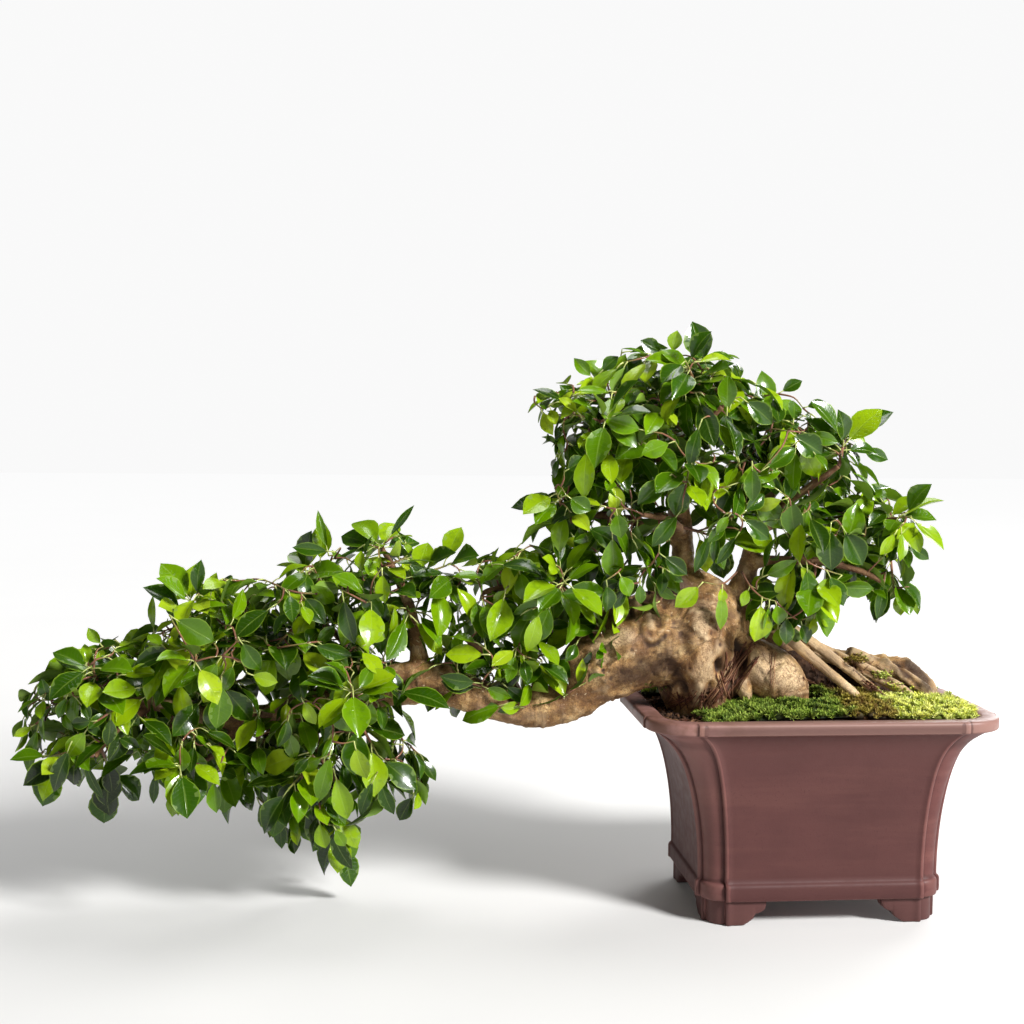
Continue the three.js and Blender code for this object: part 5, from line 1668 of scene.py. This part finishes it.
def soil_crumbs():
    """Crumbs strewn over the soil where no moss lies."""
    rng = np.random.default_rng(SEED + 1)
    soil = mesh_tree(node_mesh("soil"))
    cover = mesh_tree(*[node_mesh(node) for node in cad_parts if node.startswith("moss")])
    shape, faces = pebble_template()
    heap = Heap()
    kept = 0
    while kept < CRUMBS:
        x, y = rng.uniform(-STREWN[0], STREWN[0]), rng.uniform(-STREWN[1], STREWN[1])
        hit = below(soil, x, y)
        if below(cover, x, y) is not None or hit is None or hit.z < SOIL_TOP_FROM:
            kept += MISS
            continue
        kept += 1
        size = rng.gamma(3.0, 0.32) + 0.4
        axes = rng.uniform(*CRUMB_SHAPE, 3)
        turn = np.linalg.qr(rng.normal(size=(3, 3)))[0]
        lumps = 1 + 0.22 * rng.normal(size=len(shape))
        points = (shape * axes * lumps[:, None]) @ turn * size + np.array([x, y, hit.z + 0.25 * size])
        heap.add(points, [faces], tone=float(np.clip(rng.normal(0.4, 0.25), 0, 1)))
    return put(heap.build("soil_crumbs", crumb_material()), "soil")


# A moss shoot: its blades, how they vary in lean, length and half width, and how its height varies from its
# patch's
MOSS_BLADES = 6
MOSS_LEAN, MOSS_REACH, MOSS_HALF = (0.15, 1.0), (0.8, 1.1), (0.4, 0.7)
MOSS_HEIGHT = (0.7, 1.35)
# Boxes of the photo's pixels with thin moss on the roots or the soil, and its number of shoots; then how tall
# it is in mm
STRAY_MOSS = (((846, 656), (866, 664), 150), ((874, 671), (894, 680), 80), ((866, 684), (912, 698), 200),
              ((644, 682), (664, 694), 160))
STRAY_HEIGHT = 2.6
# Where the moss turns olive, then bright, in mm to the right of the pot's middle: at the front, and nowhere
MOSS_BORDERS, ALL_GREEN = (22, 66), (900, 900)
# Moss patches: node, slot, material, borders, how many shoots, and their height in mm
MOSS_PATCHES = (
    ("moss_front_dark", "moss_dark", "moss_green", MOSS_BORDERS, 2600, 6.0),
    ("moss_front_brown", "moss_brown", "moss_olive", MOSS_BORDERS, 1500, 4.6),
    ("moss_front_bright", "moss_bright", "moss_yellow", MOSS_BORDERS, 2800, 5.4),
    ("moss_back_dark", "moss_dark", "moss_shade", ALL_GREEN, 1800, 6.5),
)


def moss_shoot(heap, base, normal, height, rng):
    """A star of narrow bent blades round a point."""
    normal = unit(normal + np.array([0, 0, 0.6]) + rng.normal(0, 0.15, 3))
    side = unit(np.cross(normal, rng.normal(size=3)))
    other = np.cross(normal, side)
    base = base + rng.normal(0, 0.5, 3)
    tall = height * rng.uniform(*MOSS_HEIGHT)
    tone = float(np.clip(rng.normal(0.45, 0.3), 0, 1))
    start = rng.uniform(0, 6.28)
    for b in range(MOSS_BLADES):
        angle = start + 2 * math.pi * b / MOSS_BLADES
        out = math.cos(angle) * side + math.sin(angle) * other
        cross = math.cos(angle) * other - math.sin(angle) * side
        lean = rng.uniform(*MOSS_LEAN)
        reach = tall * rng.uniform(*MOSS_REACH)
        tip = base + unit(normal + out * lean) * reach
        knee = base + unit(normal + out * lean * 0.8) * reach * 0.5 + normal * 0.12 * reach
        wide = cross * rng.uniform(*MOSS_HALF)
        blade = np.array([base, knee - wide, knee + wide, tip])
        heap.add(blade, [np.array([[0, 1, 2], [1, 3, 2]])], rise=np.array([0.1, 0.5, 0.5, 1.0]), tone=tone)


def stray_moss(tree, material):
    """Thin moss on the surface roots and on the soil beside the trunk."""
    rng = np.random.default_rng([SEED, 200])
    heap = Heap()
    for low, high, count in STRAY_MOSS:
        middle, reach = (np.array(low) + high) / 2, (np.array(high) - low) / 2
        for _ in range(count):
            spot = seen_at(tree, middle + reach * np.clip(rng.normal(0, 0.5, 2), -1.2, 1.2))
            if spot is not None:
                moss_shoot(heap, spot, np.array([0, -0.3, 0.8]), STRAY_HEIGHT, rng)
    return put(heap.build("stray_moss", material), "moss_brown")


def moss_cushion(node, slot, material, count, height, rng):
    """A cushion of a moss patch: its lumpy ground, and star-shaped shoots all over it."""
    piece = copy_node(node + "_cushion", node)
    remesh(piece, MOSS_VOXEL)
    mesh = piece.data
    points = relax(mesh_points(mesh), edge_pairs(mesh), 24)
    move_points(mesh, points)
    normals = mesh_normals(mesh)
    upward = np.clip(normals[:, 2], 0, 1)
    lumps = 4.6 * turbulence(points, 24, 2, 5.0) + 3.0 * turbulence(points, 9, 2, 6.0)
    points = points + normals * (lumps * (0.3 + 0.7 * upward) - 0.6)[:, None]
    move_points(mesh, points)
    normals = mesh_normals(mesh)
    heap = Heap()
    quads = [np.array([p.vertices[:] for p in mesh.polygons if len(p.vertices) == 4])]
    # The ground takes the painted shade of the shoots' feet, a little lighter where it faces up
    heap.add(points, quads, rise=0.12 + 0.1 * upward, tone=0.3)
    tufts = smooth_step(-0.4, 0.3, turbulence(points, 5.5, 2, 13.0)) + 0.06
    weight = np.clip(normals[:, 2] + 0.25, 0, 1) * tufts
    chosen = rng.choice(len(points), count, p=weight / weight.sum())
    lush = 1 + 0.6 * turbulence(points[chosen], 10, 2, 3.0)
    for i, share in zip(chosen, lush):
        moss_shoot(heap, points[i] - normals[i] * 0.3, normals[i], height * share, rng)
    bpy.data.objects.remove(piece)
    return put(heap.build(node + "_shoots", material), slot, node)


def moss(tree):
    """The four patches, the back one all green, and the thin moss on the roots and the soil."""
    materials = {}
    for number, (node, slot, name, borders, count, height) in enumerate(MOSS_PATCHES):
        materials[name] = moss_material(name, *borders)
        rng = np.random.default_rng([SEED, 100 + number])
        moss_cushion(node, slot, materials[name], count, height, rng)
    stray_moss(tree, materials["moss_olive"])


# Fine roots: the photo's pixels between which they start and end, how many, and their radius in mm
FIBRES = (
    ((746, 640), (757, 652), (702, 700), (716, 706), 16, 1.0),
    ((726, 650), (745, 662), (712, 690), (728, 700), 12, 0.8),
    ((735, 655), (760, 668), (718, 694), (738, 700), 10, 0.6),
    ((714, 668), (722, 680), (722, 694), (732, 702), 5, 1.0),
    ((668, 690), (700, 700), (655, 704), (690, 712), 22, 0.7),
    ((770, 650), (776, 656), (766, 692), (778, 696), 4, 0.45),
    ((700, 690), (715, 696), (690, 708), (712, 712), 14, 0.7),
    ((806, 662), (814, 668), (812, 692), (832, 700), 14, 0.6),
    ((850, 680), (872, 686), (876, 696), (905, 700), 16, 0.6),
    ((802, 674), (830, 682), (816, 690), (850, 696), 26, 0.5),
    ((846, 652), (880, 664), (852, 662), (892, 676), 10, 0.4),
)
# Fibres that lie loose on the soil at the left front: how many, where along x and y, their length and radius
SOIL_FIBRES, SOIL_FIBRES_X, SOIL_FIBRES_Y = 60, (-150, -70), (-80, -48)
SOIL_FIBRE_LENGTH, SOIL_FIBRE_RADIUS = (8, 22), (0.3, 0.7)


def root_fibres(wood):
    """Fine roots over the hollow of the trunk and round its foot, and some on the soil."""
    rng = np.random.default_rng(SEED + 2)
    soil = mesh_tree(node_mesh("soil"))
    heap = Heap()

    def fibre(points, radius):
        path = spine(points, 5)
        wander = np.column_stack([turbulence(path, 11, 2, k + rng.uniform(0, 50)) for k in range(3)])
        radii = np.linspace(radius, radius * 0.5, len(path))
        heap.add(*tube(path + 0.8 * wander, radii, 5), tone=float(rng.uniform(0, 1)))

    for start_low, start_high, end_low, end_high, count, radius in FIBRES:
        for _ in range(count):
            start, end = rng.uniform(start_low, start_high), rng.uniform(end_low, end_high)
            line = []
            for share in np.linspace(0, 1, 6):
                pixel = start + (end - start) * share
                spots = [seen_at(tree, pixel) for tree in (wood, soil)]
                spots = [spot for spot in spots if spot is not None]
                if spots:
                    nearest = min(spots, key=lambda p: np.linalg.norm(p - EYE))
                    line.append(nearest - sight(pixel) * rng.uniform(0.2, 2.2))
            if len(line) > 2:
                fibre(line, radius * rng.uniform(0.6, 1.1))
    for _ in range(SOIL_FIBRES):
        x, y = rng.uniform(*SOIL_FIBRES_X), rng.uniform(*SOIL_FIBRES_Y)
        way = unit(np.array([rng.normal(), 0.5 * rng.normal()])) * rng.uniform(*SOIL_FIBRE_LENGTH)
        line = []
        for t in (-0.5, 0, 0.5):
            hit = below(soil, x + way[0] * t, y + way[1] * t)
            if hit is not None and hit.z > SOIL_TOP_FROM:
                line.append(np.array(hit) + np.array([0, 0, 0.8 + 1.5 * (t == 0)]))
        if len(line) == 3:
            fibre(line, rng.uniform(*SOIL_FIBRE_RADIUS))
    return put(heap.build("root_fibres", fibre_material()), "bark")


# Scene

def studio_floor():
    mesh = bpy.data.meshes.new("studio_floor")
    r = FLOOR_REACH
    mesh.from_pydata([(-r, -r, 0), (r, -r, 0), (r, r, 0), (-r, r, 0)], [], [(0, 1, 2, 3)])
    mesh.materials.append(floor_material())
    floor = add_object("studio_floor", mesh)


def lights():
    """Soft key from the upper right front, fill from the left, and two lights from above and behind."""
    target = place(LIT_SPOT)
    for name, (at, size, power) in LIGHTS.items():
        data = bpy.data.lights.new(name, "AREA")
        data.shape, data.size, data.energy = "DISK", size, power
        light = add_object(name, data)
        light.location = place(at)
        light.rotation_euler = Vector(target - place(at)).to_track_quat("-Z", "Y").to_euler()


def room():
    """A near-white backdrop for the camera, and a faint bluish light all round for the plant."""
    world = bpy.data.worlds.new("studio")
    world.use_nodes = True
    tree = world.node_tree
    seen = tree.nodes["Background"]
    cast = tree.nodes.new("ShaderNodeBackground")
    for shader, colour, strength in ((seen, WHITE, BACKDROP), (cast, DAYLIGHT, AMBIENT)):
        shader.inputs["Color"].default_value = colour
        shader.inputs["Strength"].default_value = strength
    mix = tree.nodes.new("ShaderNodeMixShader")
    tree.links.new(tree.nodes.new("ShaderNodeLightPath").outputs["Is Camera Ray"], mix.inputs[0])
    tree.links.new(cast.outputs[0], mix.inputs[1])
    tree.links.new(seen.outputs[0], mix.inputs[2])
    tree.links.new(mix.outputs[0], tree.nodes["World Output"].inputs["Surface"])
    bpy.context.scene.world = world
    bpy.context.scene.view_settings.view_transform = "Standard"


def camera():
    """The photo's camera."""
    right, down, forward = VIEW
    data = bpy.data.cameras.new("camera")
    data.sensor_width = SENSOR
    data.lens = FOCAL / PHOTO_WIDTH * SENSOR
    data.clip_end = 60
    item = add_object("camera", data)
    rotation = Matrix([list(row) for row in np.column_stack([right, -down, -forward])]).to_4x4()
    item.matrix_world = Matrix.Translation(Vector(place(EYE))) @ rotation
    bpy.context.scene.camera = item


camera()
studio_floor()
lights()
room()
pot_piece()
BARK = bark_material()
WOOD = thick_wood(BARK)
thin_branches(BARK)
SOIL = soil_material()
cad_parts["soil"].material_slots[0].material = SOIL
root_mat(SOIL)
for node in ("drain_screen_left", "drain_screen_right"):
    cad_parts[node].material_slots[0].material = screen_material()
soil_crumbs()
WOOD_TREE = mesh_tree(WOOD.data)
moss(WOOD_TREE)
root_fibres(WOOD_TREE)
foliage()
